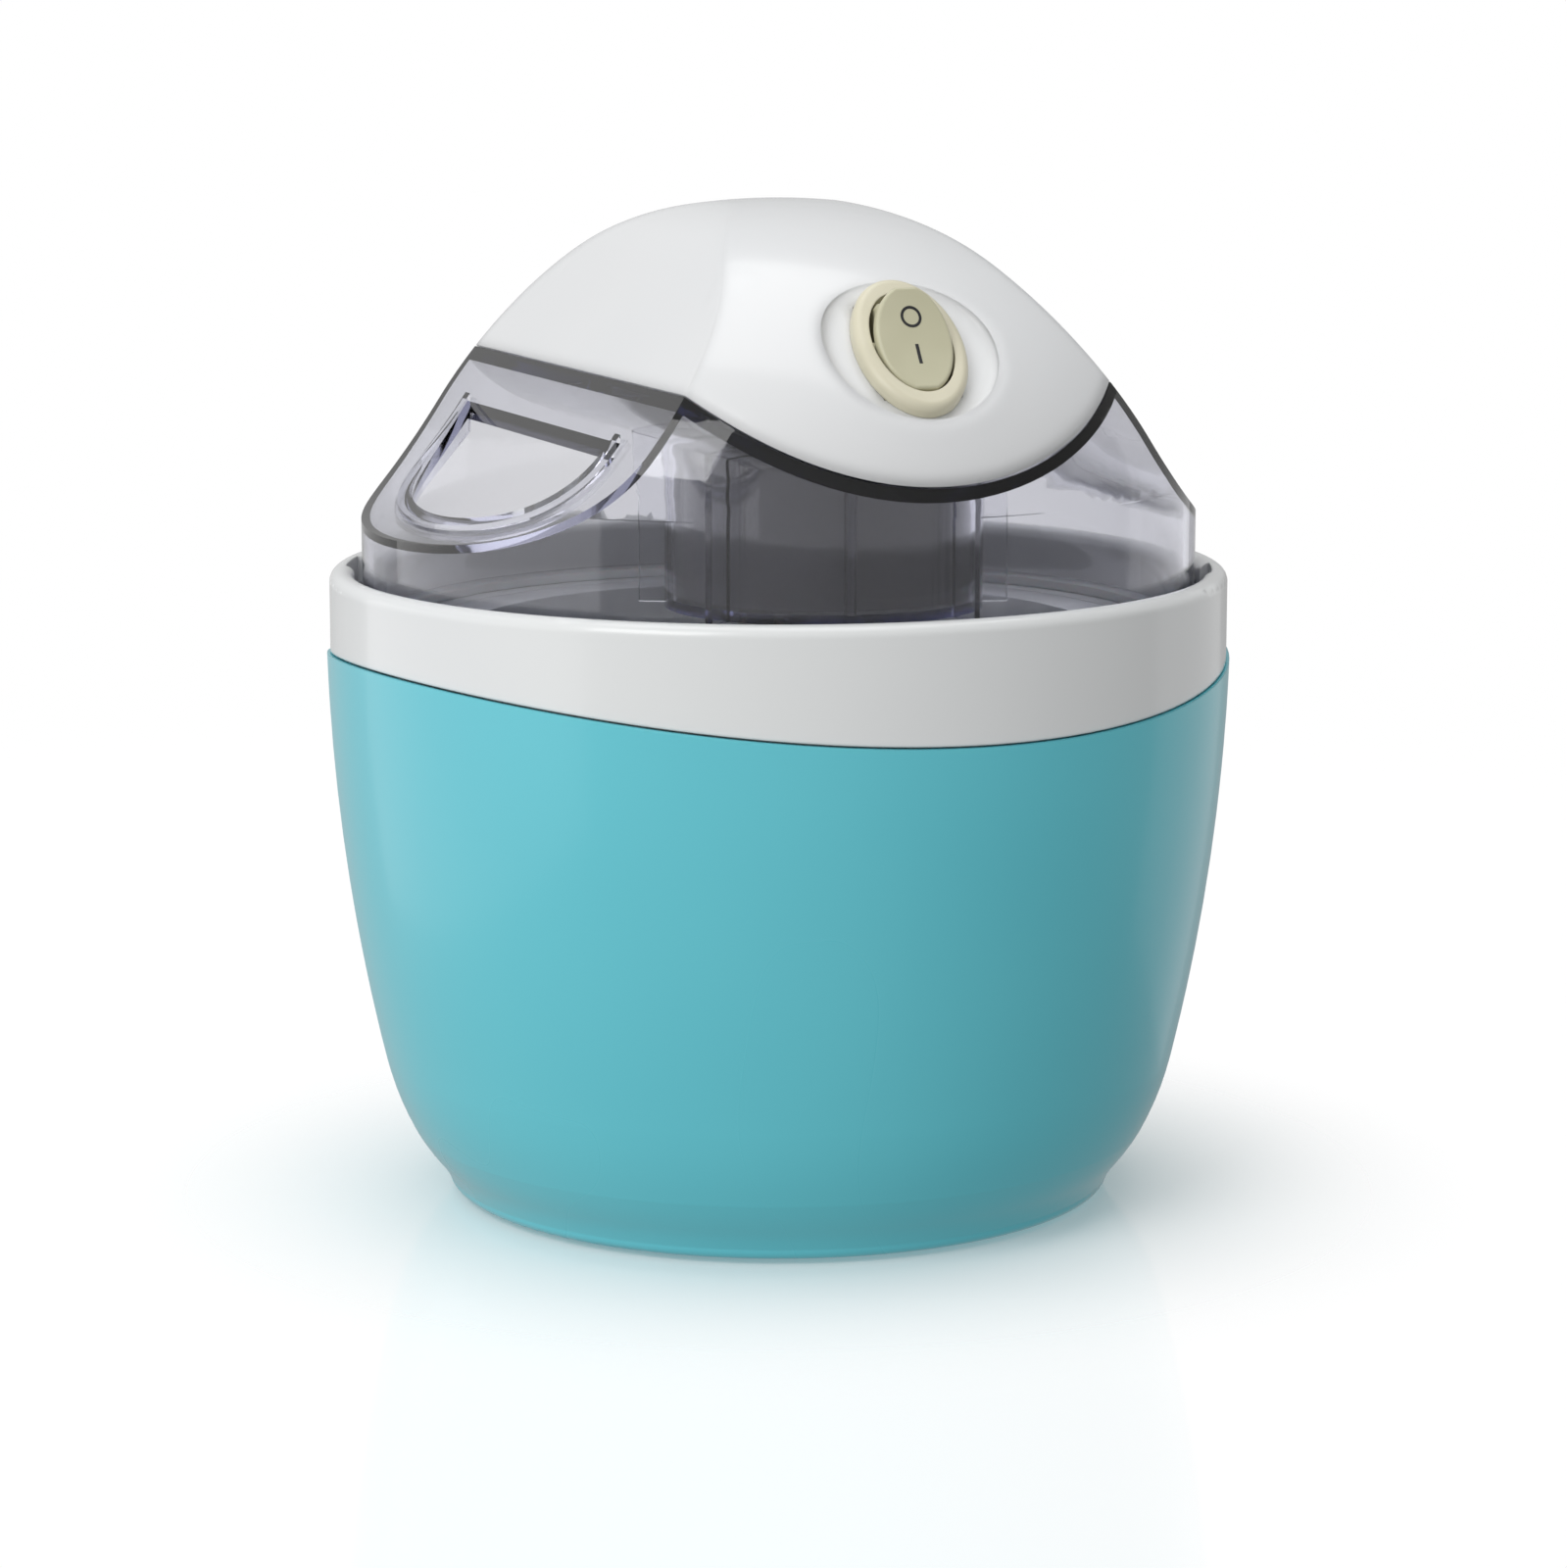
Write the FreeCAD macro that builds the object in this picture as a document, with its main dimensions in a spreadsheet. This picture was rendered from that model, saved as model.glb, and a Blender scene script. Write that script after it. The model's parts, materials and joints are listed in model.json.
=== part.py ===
import FreeCAD, Part
import math
import os

import Sketcher
from FreeCAD import Placement, Rotation, Vector

# Pint-size ice cream maker: a bowl-shaped base with a wavy joint to its collar, a lift-out
# freezer bowl, a clear domed lid with a D-shaped filling opening, and a motor unit on the lid.
# Millimetres. The origin is the centre of the footprint on the table, +Z is up, the switch
# faces -Y and the filling opening is on the -X side of the lid.

DIMENSIONS = {
    # base
    "shell_radius": 83.1,
    "shell_wall": 2.2,
    "shell_bottom": 1.0,
    "shell_floor": 4.0,
    "foot_radius": 6.0,
    "foot_circle": 44.0,
    "screw_circle": 34.0,
    "base_turn": 8.5,
    "seam_low": 94.7,
    "seam_arc": 436.0,
    "seam_gap": 0.35,
    "collar_radius": 82.5,
    "collar_top": 116.5,
    "collar_bore": 77.9,
    "collar_round": 2.2,
    "skirt_radius": 80.1,
    "skirt_bottom": 88.0,
    "ledge_top": 102.4,
    "well_top_radius": 70.4,
    "well_bottom_radius": 65.8,
    "well_floor": 14.0,
    "well_wall": 1.8,
    # freezer bowl
    "bowl_radius": 58.0,
    "bowl_taper": 4.0,
    "bowl_floor": 20.2,
    "bowl_top": 105.4,
    "bowl_skin": 1.2,
    "bowl_corner": 6.2,
    "bowl_flange_radius": 75.5,
    "bowl_flange_bottom": 102.6,
    "bowl_case_radius": 69.6,
    "bowl_case_foot_radius": 65.0,
    "bowl_case_floor": 14.6,
    "bowl_case_wall": 2.0,
    "gel_gap": 0.2,
    # paddle
    "paddle_reach": 52.0,
    "paddle_blade": 3.0,
    "hub_radius": 7.5,
    "hub_top": 106.0,
    # lid and motor cover, one dome cut by two scooped facets
    "dome_radius": 76.5,
    "dome_rise": 50.5,
    "dome_spring": 133.0,
    "lid_bottom": 107.5,
    "lid_wall": 2.0,
    "lid_deck": 2.6,
    "facet_edge": 39.7,
    "facet_height": 153.5,
    "facet_slope": 54.0,
    "crest_radius": 25.0,
    "crest_start": 5.0,
    "scoop_start": 47.0,
    "scoop_radius": 46.0,
    "split_low": 138.3,
    "split_gap": 0.3,
    "opening_edge": 46.2,
    "opening_length": 40.7,
    "opening_depth": 20.7,
    "opening_lip": 2.7,
    "well_offset": 9.0,
    "pocket_radius": 29.5,
    "pocket_wall": 1.6,
    "pocket_floor": 108.7,
    "tab_radius": 78.9,
    "tab_bottom": 109.0,
    "tab_height": 3.0,
    # motor unit
    "cover_wall": 2.2,
    "cup_radius": 27.5,
    "cup_wall": 1.8,
    "cup_bottom": 111.0,
    "plate_bottom": 129.5,
    "plate_thickness": 2.0,
    "motor_radius": 12.2,
    "motor_length": 28.5,
    "shaft_radius": 3.0,
    "drive_flats": 5.2,
    "drive_bottom": 93.0,
    "switch_tilt": 46.0,
    "switch_forward": 60.2,
    "switch_height": 160.1,
    "bezel_width": 19.8,
    "bezel_length": 29.0,
    "bezel_thickness": 2.8,
    "dish_width": 31.6,
    "dish_length": 31.8,
    "cord_bore": 3.2,
    "cord_height": 149.0,
}

CLEAR = 400.0  # longer than anything in the model, for cutters that run right through


class Size:
    """A length that carries both its number and the sheet expression behind it."""

    def __init__(self, number, text):
        self.number = number
        self.text = text

    def __float__(self):
        return self.number

    def __add__(self, other):
        return Size(self.number + float(other), f"({self.text} + {text_of(other)})")

    def __radd__(self, other):
        return Size(float(other) + self.number, f"({text_of(other)} + {self.text})")

    def __sub__(self, other):
        return Size(self.number - float(other), f"({self.text} - {text_of(other)})")

    def __rsub__(self, other):
        return Size(float(other) - self.number, f"({text_of(other)} - {self.text})")

    def __mul__(self, other):
        return Size(self.number * float(other), f"({self.text} * {text_of(other)})")

    __rmul__ = __mul__

    def __truediv__(self, other):
        return Size(self.number / float(other), f"({self.text} / {text_of(other)})")

    def __neg__(self):
        return Size(-self.number, f"(0 - {self.text})")


def text_of(value):
    return value.text if isinstance(value, Size) else repr(float(value))


def sine(angle):
    return Size(math.sin(math.radians(float(angle))), f"sin({angle.text} * 1 deg)")


def cosine(angle):
    return Size(math.cos(math.radians(float(angle))), f"cos({angle.text} * 1 deg)")


def tangent(angle):
    return Size(math.tan(math.radians(float(angle))), f"tan({angle.text} * 1 deg)")


doc = FreeCAD.newDocument("IceCreamMaker")
sheet = doc.addObject("Spreadsheet::Sheet", "Sizes")


class Dimensions:
    """The sheet's cells, one attribute each."""


dim = Dimensions()
for row, (alias, number) in enumerate(DIMENSIONS.items(), start=1):
    sheet.set(f"A{row}", alias)
    sheet.set(f"B{row}", str(number))
    sheet.setAlias(f"B{row}", alias)
    setattr(dim, alias, Size(number, f"Sizes.{alias}"))
doc.recompute()


# ---------------------------------------------------------------- helpers

def bind(thing, prop, value):
    """Set a property from a number, or tie it to the sheet when it is a Size."""
    if isinstance(value, Size):
        thing.setExpression(prop, value.text)
    else:
        setattr(thing, prop, value)


def place(thing, x=0.0, y=0.0, z=0.0, rotation=None):
    thing.Placement = Placement(Vector(float(x), float(y), float(z)), rotation or Rotation())
    for axis, value in (("x", x), ("y", y), ("z", z)):
        if isinstance(value, Size):
            thing.setExpression(f"Placement.Base.{axis}", value.text)
    return thing


def cylinder(name, radius, low, high, x=0.0, y=0.0):
    """An upright cylinder between two heights."""
    thing = doc.addObject("Part::Cylinder", name)
    bind(thing, "Radius", radius)
    bind(thing, "Height", high - low)
    return place(thing, x, y, low)


def cone(name, low_radius, high_radius, low, high, x=0.0, y=0.0):
    thing = doc.addObject("Part::Cone", name)
    bind(thing, "Radius1", low_radius)
    bind(thing, "Radius2", high_radius)
    bind(thing, "Height", high - low)
    return place(thing, x, y, low)


def box(name, low, high):
    """A block between two corners."""
    thing = doc.addObject("Part::Box", name)
    for prop, a, b in zip(("Length", "Width", "Height"), low, high):
        bind(thing, prop, b - a)
    return place(thing, *low)


def sector(name, radius, low, high, start, sweep):
    """A slice of an upright cylinder from a start angle, for slots, grooves and tabs."""
    thing = cylinder(name, radius, low, high)
    thing.Angle = sweep
    thing.Placement.Rotation = Rotation(Vector(0, 0, 1), start)
    return thing


def cut(name, base, *tools):
    result = base
    for number, tool in enumerate(tools):
        last = number == len(tools) - 1
        step = doc.addObject("Part::Cut", name if last else f"{name}_cut{number}")
        step.Base = result
        step.Tool = tool
        result = step
    return result


def fuse(name, *parts):
    thing = doc.addObject("Part::MultiFuse", name)
    thing.Shapes = list(parts)
    return thing


def common(name, *parts):
    thing = doc.addObject("Part::MultiCommon", name)
    thing.Shapes = list(parts)
    return thing


def group(name, parts):
    """Separate solids kept in one node, for identical fasteners."""
    thing = doc.addObject("Part::Compound", name)
    thing.Links = list(parts)
    return thing


def rounded(name, base, radius, chosen):
    """Round every edge of a shape that the test `chosen` picks out."""
    doc.recompute()
    thing = doc.addObject("Part::Fillet", name)
    thing.Base = base
    picked = [i for i, edge in enumerate(base.Shape.Edges, start=1) if chosen(edge)]
    thing.Edges = [(i, float(radius), float(radius)) for i in picked]
    return thing


def arc_centre(start, end, radius):
    """Centre of the shorter arc from start to end; a positive radius turns it to the left."""
    middle = (start + end) * 0.5
    along = end - start
    reach = math.sqrt(max(radius * radius - along.Length * along.Length / 4, 0.0))
    left = Vector(-along.y, along.x, 0).normalize()
    return middle + left * math.copysign(reach, radius)


def outline(body, plane, corners):
    """A closed sketch through (x, y) corners, every one held by the sheet.

    A third item on a corner is the radius of the arc that arrives there: positive when the
    arc turns left on its way, negative when it turns right.
    """
    sketch = body.newObject("Sketcher::SketchObject", f"{body.Name}_outline")
    flat = [f for f in body.Origin.OriginFeatures if f.Role == plane][0]
    sketch.AttachmentSupport = [(flat, "")]
    sketch.MapMode = "FlatFace"
    points = [Vector(float(c[0]), float(c[1]), 0) for c in corners]
    ends = []
    for number, corner in enumerate(corners):
        start = points[number - 1]
        end = points[number]
        if len(corner) == 3:
            radius = float(corner[2])
            centre = arc_centre(start, end, radius)
            first, last = (start, end) if radius > 0 else (end, start)
            angles = [math.atan2(p.y - centre.y, p.x - centre.x) for p in (first, last)]
            circle = Part.Circle(centre, Vector(0, 0, 1), abs(radius))
            curve = sketch.addGeometry(Part.ArcOfCircle(circle, *angles))
            ends.append((curve, 1, 2) if radius > 0 else (curve, 2, 1))
        else:
            curve = sketch.addGeometry(Part.LineSegment(start, end))
            ends.append((curve, 1, 2))
    for number, corner in enumerate(corners):
        curve, _, finish = ends[number]
        following, begin, _ = ends[(number + 1) % len(corners)]
        sketch.addConstraint(Sketcher.Constraint("Coincident", curve, finish, following, begin))
        for kind, value, axis in (("DistanceX", corner[0], -2), ("DistanceY", corner[1], -1)):
            if abs(float(value)) < 1e-9:
                held = Sketcher.Constraint("PointOnObject", curve, finish, axis)
                sketch.addConstraint(held)
                continue
            held = Sketcher.Constraint(kind, -1, 1, curve, finish, float(value))
            index = sketch.addConstraint(held)
            if isinstance(value, Size):
                sketch.setExpression(f"Constraints[{index}]", value.text)
        if len(corner) == 3:
            radius = corner[2] if float(corner[2]) > 0 else -corner[2]
            held = Sketcher.Constraint("Radius", curve, float(radius))
            index = sketch.addConstraint(held)
            if isinstance(radius, Size):
                sketch.setExpression(f"Constraints[{index}]", radius.text)
    return sketch


def turned(name, corners):
    """A body turned about Z from a half section of (radius, height) corners."""
    body = doc.addObject("PartDesign::Body", name)
    sketch = outline(body, "XZ_Plane", corners)
    feature = body.newObject("PartDesign::Revolution", f"{name}_turn")
    feature.Profile = sketch
    feature.ReferenceAxis = (sketch, ["V_Axis"])
    feature.Angle = 360.0
    sketch.Visibility = False
    return body


def ruled(name, plane, corners, length):
    """A body extruded both ways from its outline on an origin plane."""
    body = doc.addObject("PartDesign::Body", name)
    sketch = outline(body, plane, corners)
    feature = body.newObject("PartDesign::Pad", f"{name}_pad")
    feature.Profile = sketch
    bind(feature, "Length", length)
    feature.Midplane = True
    return body


def polar(radius, degrees):
    turn = math.radians(degrees)
    return float(radius) * math.cos(turn), float(radius) * math.sin(turn)


nodes = {}


def keep(node, thing):
    """Name a finished sub-part."""
    thing.Label = node
    nodes[node] = thing
    return thing


# ---------------------------------------------------------------- lid bayonet

TAB_ANGLES = (-25.0, 155.0)
TAB_SWEEP = 8.0
SLOT_SWEEP = 10.0
LID_TURN = 8.5
SLOT_STARTS = tuple(angle - SLOT_SWEEP / 2 for angle in TAB_ANGLES)
GROOVE_SWEEP = SLOT_SWEEP + LID_TURN


# ---------------------------------------------------------------- base

BASE_SCREW_ANGLES = (30.0, 150.0, 270.0)
FOOT_ANGLES = (45.0, 135.0, 225.0, 315.0)


def seam_cylinder(name, gap=0.0):
    """Cylinder whose underside is the wavy joint between shell and collar."""
    thing = doc.addObject("Part::Cylinder", name)
    bind(thing, "Radius", dim.seam_arc - gap)
    thing.Height = CLEAR
    centre = dim.seam_low + dim.seam_arc
    turn = Rotation(Vector(0, 0, 1), float(dim.base_turn))
    rotation = turn.multiply(Rotation(Vector(1, 0, 0), -90))
    start = turn.multVec(Vector(0, -CLEAR / 2, 0))
    return place(thing, start.x, start.y, centre, rotation)


def make_outer_shell():
    """Bowl-shaped shell with a turned-in foot ring and a raised floor."""
    wall = dim.shell_wall
    rim = dim.shell_radius
    bottom = dim.shell_bottom
    floor = dim.shell_floor
    belly = rim - 9.6
    waist = rim - 14.6
    ankle = rim - 18.2
    ring = rim - 21.2
    section = [
        (0.0, floor),
        (ring - 9.5, floor),
        (ring - 8.5, bottom),
        (ring - 1.7, bottom),
        (ring, bottom + 2.0, 2.2),
        (ankle, bottom + 6.4, -19.0),
        (waist, bottom + 11.6, 36.0),
        (belly, bottom + 25.0, 55.0),
        (rim, 101.0, 365.0),
        (rim, 108.0),
        (rim - wall, 108.0),
        (rim - wall, 101.0),
        (belly - wall, bottom + 25.5, -363.0),
        (waist - wall, bottom + 12.2, -53.0),
        (ring - wall, floor + wall),
        (0.0, floor + wall),
    ]
    body = turned("shell_form", section)
    tools = [seam_cylinder("shell_seam")]
    for number, angle in enumerate(BASE_SCREW_ANGLES):
        x, y = polar(dim.screw_circle, angle)
        tools.append(cylinder(f"shell_screw_hole{number}", 1.7, 0.0, 9.0, x, y))
    for number, angle in enumerate(FOOT_ANGLES):
        x, y = polar(dim.foot_circle, angle)
        tools.append(cylinder(f"shell_foot_hole{number}", 2.0, 0.0, 9.0, x, y))
    return keep("outer_shell", cut("outer_shell_cut", body, *tools))


def make_inner_housing():
    """White collar, ledge and well in one moulding, with two bayonet slots in the rim."""
    rim = dim.collar_radius
    bore = dim.collar_bore
    curve = dim.collar_round
    top = dim.collar_top
    ledge = dim.ledge_top
    wall = dim.well_wall
    floor = dim.well_floor
    section = [
        (0.0, floor - wall),
        (dim.well_bottom_radius - 7.0, floor - wall),
        (dim.well_bottom_radius + wall, floor + 8.2),
        (dim.well_top_radius + wall, ledge - wall),
        (dim.skirt_radius - 2.2, ledge - wall),
        (dim.skirt_radius - 2.2, dim.skirt_bottom),
        (rim, dim.skirt_bottom),
        (rim, top - curve),
        (rim - curve, top, curve),
        (bore + curve, top),
        (bore, top - curve, curve),
        (bore, ledge),
        (dim.well_top_radius, ledge),
        (dim.well_bottom_radius, floor + 9.0),
        (dim.well_bottom_radius - 7.0, floor),
        (0.0, floor),
    ]
    body = turned("housing_form", section)
    outside = cylinder("housing_skirt_outside", 120.0, 60.0, 110.0)
    inside = cylinder("housing_skirt_inside", dim.skirt_radius, 50.0, 120.0)
    ring = cut("housing_skirt_ring", outside, inside)
    below = cut("housing_skirt_zone", ring, seam_cylinder("housing_seam", dim.seam_gap))
    tools = [below]
    for number, start in enumerate(SLOT_STARTS):
        low = dim.tab_bottom - 0.6
        high = dim.tab_bottom + dim.tab_height + 0.6
        deep = dim.tab_radius + 0.7
        tools.append(sector(f"housing_slot{number}", deep, low, 130.0, start, SLOT_SWEEP))
        tools.append(sector(f"housing_groove{number}", deep, low, high, start, GROOVE_SWEEP))
    shell = cut("housing_slotted", body, *tools)
    bosses = []
    holes = []
    for number, angle in enumerate(BASE_SCREW_ANGLES):
        x, y = polar(dim.screw_circle, angle)
        low = dim.shell_floor + dim.shell_wall
        bosses.append(cylinder(f"housing_boss{number}", 4.0, low, floor - 1.0, x, y))
        holes.append(cylinder(f"housing_pilot{number}", 1.4, 0.0, floor - 1.2, x, y))
    joined = fuse("housing_bossed", shell, *bosses)
    return keep("inner_housing", cut("inner_housing_cut", joined, *holes))


def screw(name, x, y, head_low, head_radius, head_height, radius, length):
    """Pan-head screw pointing up, with a cross recess under its head."""
    head = cylinder(f"{name}_head", head_radius, head_low, head_low + head_height, x, y)
    shank = cylinder(f"{name}_shank", radius, head_low + head_height - 0.2,
                     head_low + head_height + length, x, y)
    joined = fuse(f"{name}_blank", head, shank)
    arm = head_radius * 0.55
    slots = [
        box(f"{name}_slot_x", (x - arm, y - 0.35, head_low - 0.5), (x + arm, y + 0.35, head_low + 0.9)),
        box(f"{name}_slot_y", (x - 0.35, y - arm, head_low - 0.5), (x + 0.35, y + arm, head_low + 0.9)),
    ]
    return cut(name, joined, *slots)


def make_base_fittings():
    """Three screws through the floor and four rubber feet pegged into it."""
    screws = []
    for number, angle in enumerate(BASE_SCREW_ANGLES):
        x, y = polar(dim.screw_circle, angle)
        screws.append(screw(f"base_screw{number}", x, y, 2.3, 3.2, 1.7, 1.4, 8.0))
    keep("base_screws", group("base_screw_set", screws))
    feet = []
    for number, angle in enumerate(FOOT_ANGLES):
        x, y = polar(dim.foot_circle, angle)
        pad = cone(f"foot_pad{number}", dim.foot_radius - 0.8, dim.foot_radius, 0.0, 1.2, x, y)
        disc = cylinder(f"foot_disc{number}", dim.foot_radius, 1.2, dim.shell_floor, x, y)
        peg = cylinder(f"foot_peg{number}", 2.0, dim.shell_floor - 0.5, dim.shell_floor + 2.2, x, y)
        barb = cone(f"foot_barb{number}", 2.8, 1.4, dim.shell_floor + 2.2, dim.shell_floor + 4.4, x, y)
        feet.append(fuse(f"foot{number}", pad, disc, peg, barb))
    keep("rubber_feet", group("rubber_foot_set", feet))


# ---------------------------------------------------------------- freezer bowl

def make_freezer_bowl():
    """Double-walled bowl: metal liner, plastic case, sealed gel between, seal under the lip."""
    skin = dim.bowl_skin
    inner = dim.bowl_radius
    floor = dim.bowl_floor
    top = dim.bowl_top
    corner = dim.bowl_corner
    foot = inner - dim.bowl_taper
    keep("bowl_inner", turned("bowl_liner", [
        (0.0, floor - skin),
        (foot - corner, floor - skin),
        (foot + skin, floor + corner, corner + skin),
        (inner + skin, top - skin),
        (inner + 9.0, top - skin),
        (inner + 9.0, top),
        (inner, top),
        (foot, floor + corner),
        (foot - corner, floor, -corner),
        (3.0, floor),
        (3.0, floor + 4.8),
        (2.5, floor + 5.3),
        (0.0, floor + 5.3),
    ]))
    case = dim.bowl_case_radius
    case_foot = dim.bowl_case_foot_radius
    wall = dim.bowl_case_wall
    flange = dim.bowl_flange_bottom
    base = dim.bowl_case_floor
    keep("bowl_outer", turned("bowl_case", [
        (0.0, base),
        (case_foot - 7.0, base),
        (case_foot, base + 9.0),
        (case, flange),
        (dim.bowl_flange_radius, flange),
        (dim.bowl_flange_radius, top),
        (inner + 9.2, top),
        (inner + 9.2, flange),
        (case_foot - wall, base + 9.4),
        (case_foot - wall - 6.2, base + wall),
        (0.0, base + wall),
    ]))
    gap = dim.gel_gap
    keep("cooling_gel", turned("gel_fill", [
        (0.0, base + wall + gap),
        (case_foot - wall - 6.2 - gap, base + wall + gap),
        (case_foot - wall - 1.5 * gap, base + 9.4),
        (inner + 9.2 - 1.5 * gap, flange),
        (inner + skin + gap, flange),
        (foot + skin + gap, floor + corner),
        (foot - corner, floor - skin - gap, -(corner + skin + gap)),
        (0.0, floor - skin - gap),
    ]))
    keep("bowl_seal", turned("bowl_seal_ring", [
        (inner + 1.6, flange + 0.1),
        (inner + 9.0, flange + 0.1),
        (inner + 9.0, top - skin),
        (inner + 1.6, top - skin),
    ]))


# ---------------------------------------------------------------- paddle

def make_paddle():
    """Upright scraper with an open frame, a hexagonal socket on top and a pivot below."""
    reach = dim.paddle_reach
    blade = dim.paddle_blade
    half = blade / 2
    floor = dim.bowl_floor + 1.2
    hub = dim.hub_radius
    parts = [
        cylinder("paddle_hub", hub, 84.0, dim.hub_top),
        cylinder("paddle_pivot", 6.0, floor, floor + 9.0),
        box("paddle_top_bar", (-reach, -half, 84.0), (reach, half, 93.0)),
        box("paddle_foot_bar", (-reach + 5.0, -half, floor), (reach - 5.0, half, floor + 8.0)),
    ]
    for side in (-1.0, 1.0):
        outer = reach * side
        inner = (reach - 8.0) * side
        low, high = sorted((outer, inner), key=float)
        name = "left" if side < 0 else "right"
        parts.append(box(f"paddle_scraper_{name}", (low, -half, 30.0), (high, half, 93.0)))
        knee = doc.addObject("Part::Wedge", f"paddle_knee_{name}")
        knee.Xmin, knee.Xmax, knee.X2min, knee.X2max = 0.0, 8.0, 3.5, 8.0
        knee.Zmin, knee.Zmax, knee.Z2min, knee.Z2max = 0.0, float(blade), 0.0, float(blade)
        knee.Ymin, knee.Ymax = 0.0, 30.0 - float(floor)
        lay = Rotation(Vector(1, 0, 0), -90)
        if side < 0:
            place(knee, low, -half, 30.0, lay)
        else:
            place(knee, high, half, 30.0, Rotation(Vector(0, 0, 1), 180).multiply(lay))
        parts.append(knee)
        middle = 17.0 * side
        parts.append(box(f"paddle_mixer_{name}", (middle - half, -half, floor),
                         (middle + half, half, 90.0)))
    solid = fuse("paddle_frame", *parts)
    socket = doc.addObject("Part::Prism", "paddle_socket")
    socket.Polygon = 6
    bind(socket, "Circumradius", (dim.drive_flats / 2 + 0.2) / math.cos(math.pi / 6))
    bind(socket, "Height", dim.hub_top - dim.drive_bottom + 3.0)
    place(socket, z=dim.drive_bottom - 1.0)
    pivot = cylinder("paddle_pivot_bore", 3.2, 10.0, dim.bowl_floor + 6.0)
    keep("paddle", cut("paddle_cut", solid, socket, pivot))


# ---------------------------------------------------------------- lid

def facet_cutter(name, inset, left=False):
    """All that lies outside one scooped side facet, moved inward by `inset`.

    The facet is ruled along Y: a rounded crest, a straight slope and a hollow below it.
    """
    slope = dim.facet_slope
    rise = tangent(slope)
    crest = dim.crest_radius
    crest_end = dim.crest_start + crest * sine(slope)
    crest_end_height = dim.facet_height + (dim.facet_edge - crest_end) * rise
    crest_top = crest_end_height + crest * (1.0 - cosine(slope))
    scoop = dim.scoop_radius
    scoop_height = dim.facet_height + (dim.facet_edge - dim.scoop_start) * rise
    scoop_low = scoop_height - scoop * (1.0 - cosine(slope))
    scoop_end = dim.scoop_start + scoop * sine(slope)
    aside = sine(slope) * inset
    down = cosine(slope) * inset
    body = ruled(name, "XZ_Plane", [
        (dim.crest_start, 230.0),
        (dim.crest_start, crest_top - inset),
        (crest_end - aside, crest_end_height - down, -(crest - inset)),
        (dim.scoop_start - aside, scoop_height - down),
        (scoop_end, scoop_low - inset, scoop + inset),
        (130.0, scoop_low - inset),
        (130.0, 230.0),
    ], CLEAR)
    if not left:
        return body
    mirror = doc.addObject("Part::Mirroring", f"{name}_mirrored")
    mirror.Source = body
    mirror.Normal = Vector(1, 0, 0)
    return mirror


def split_cylinder(name, outset):
    """Cylinder along Y whose underside parts the lid from the motor unit."""
    rise = dim.facet_height - dim.split_low
    radius = (dim.facet_edge * dim.facet_edge + rise * rise) / (2.0 * rise)
    thing = doc.addObject("Part::Cylinder", name)
    bind(thing, "Radius", radius + outset)
    thing.Height = CLEAR
    return place(thing, 0.0, -CLEAR / 2, dim.split_low + radius, Rotation(Vector(1, 0, 0), -90))


def faceted_dome(name, inset, low):
    """Upright wall with an elliptical cap, cut by both facets and shrunk by `inset`."""
    radius = dim.dome_radius - inset
    wall = cylinder(f"{name}_wall", radius, low, dim.dome_spring)
    cap = doc.addObject("Part::Ellipsoid", f"{name}_cap")
    bind(cap, "Radius1", dim.dome_rise - inset)
    bind(cap, "Radius2", radius)
    cap.Radius3 = 0.0
    cap.Angle1 = 0.0
    place(cap, z=dim.dome_spring)
    dome = fuse(f"{name}_dome", wall, cap)
    right = facet_cutter(f"{name}_right", inset)
    left = facet_cutter(f"{name}_left", inset, left=True)
    return cut(name, dome, right, left)


def half_oval(name, grow):
    """Upright D-shaped prism over the filling opening, straight along the facet's top edge."""
    curve = doc.addObject("Part::Ellipse", f"{name}_curve")
    bind(curve, "MajorRadius", dim.opening_length + grow)
    bind(curve, "MinorRadius", dim.opening_depth + grow)
    place(curve, -dim.opening_edge, 0.0, 100.0, Rotation(Vector(0, 0, 1), 90))
    prism = doc.addObject("Part::Extrusion", f"{name}_prism")
    prism.Base = curve
    prism.DirMode = "Custom"
    prism.Dir = Vector(0, 0, 1)
    prism.LengthFwd = 80.0
    prism.Solid = True
    spare = box(f"{name}_spare", (-dim.opening_edge, -90.0, 90.0), (90.0, 90.0, 200.0))
    return cut(name, prism, spare)


RIB_ANGLES = (15.0, 60.0, 105.0, 150.0, 210.0, 255.0, 300.0, 345.0)


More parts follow.
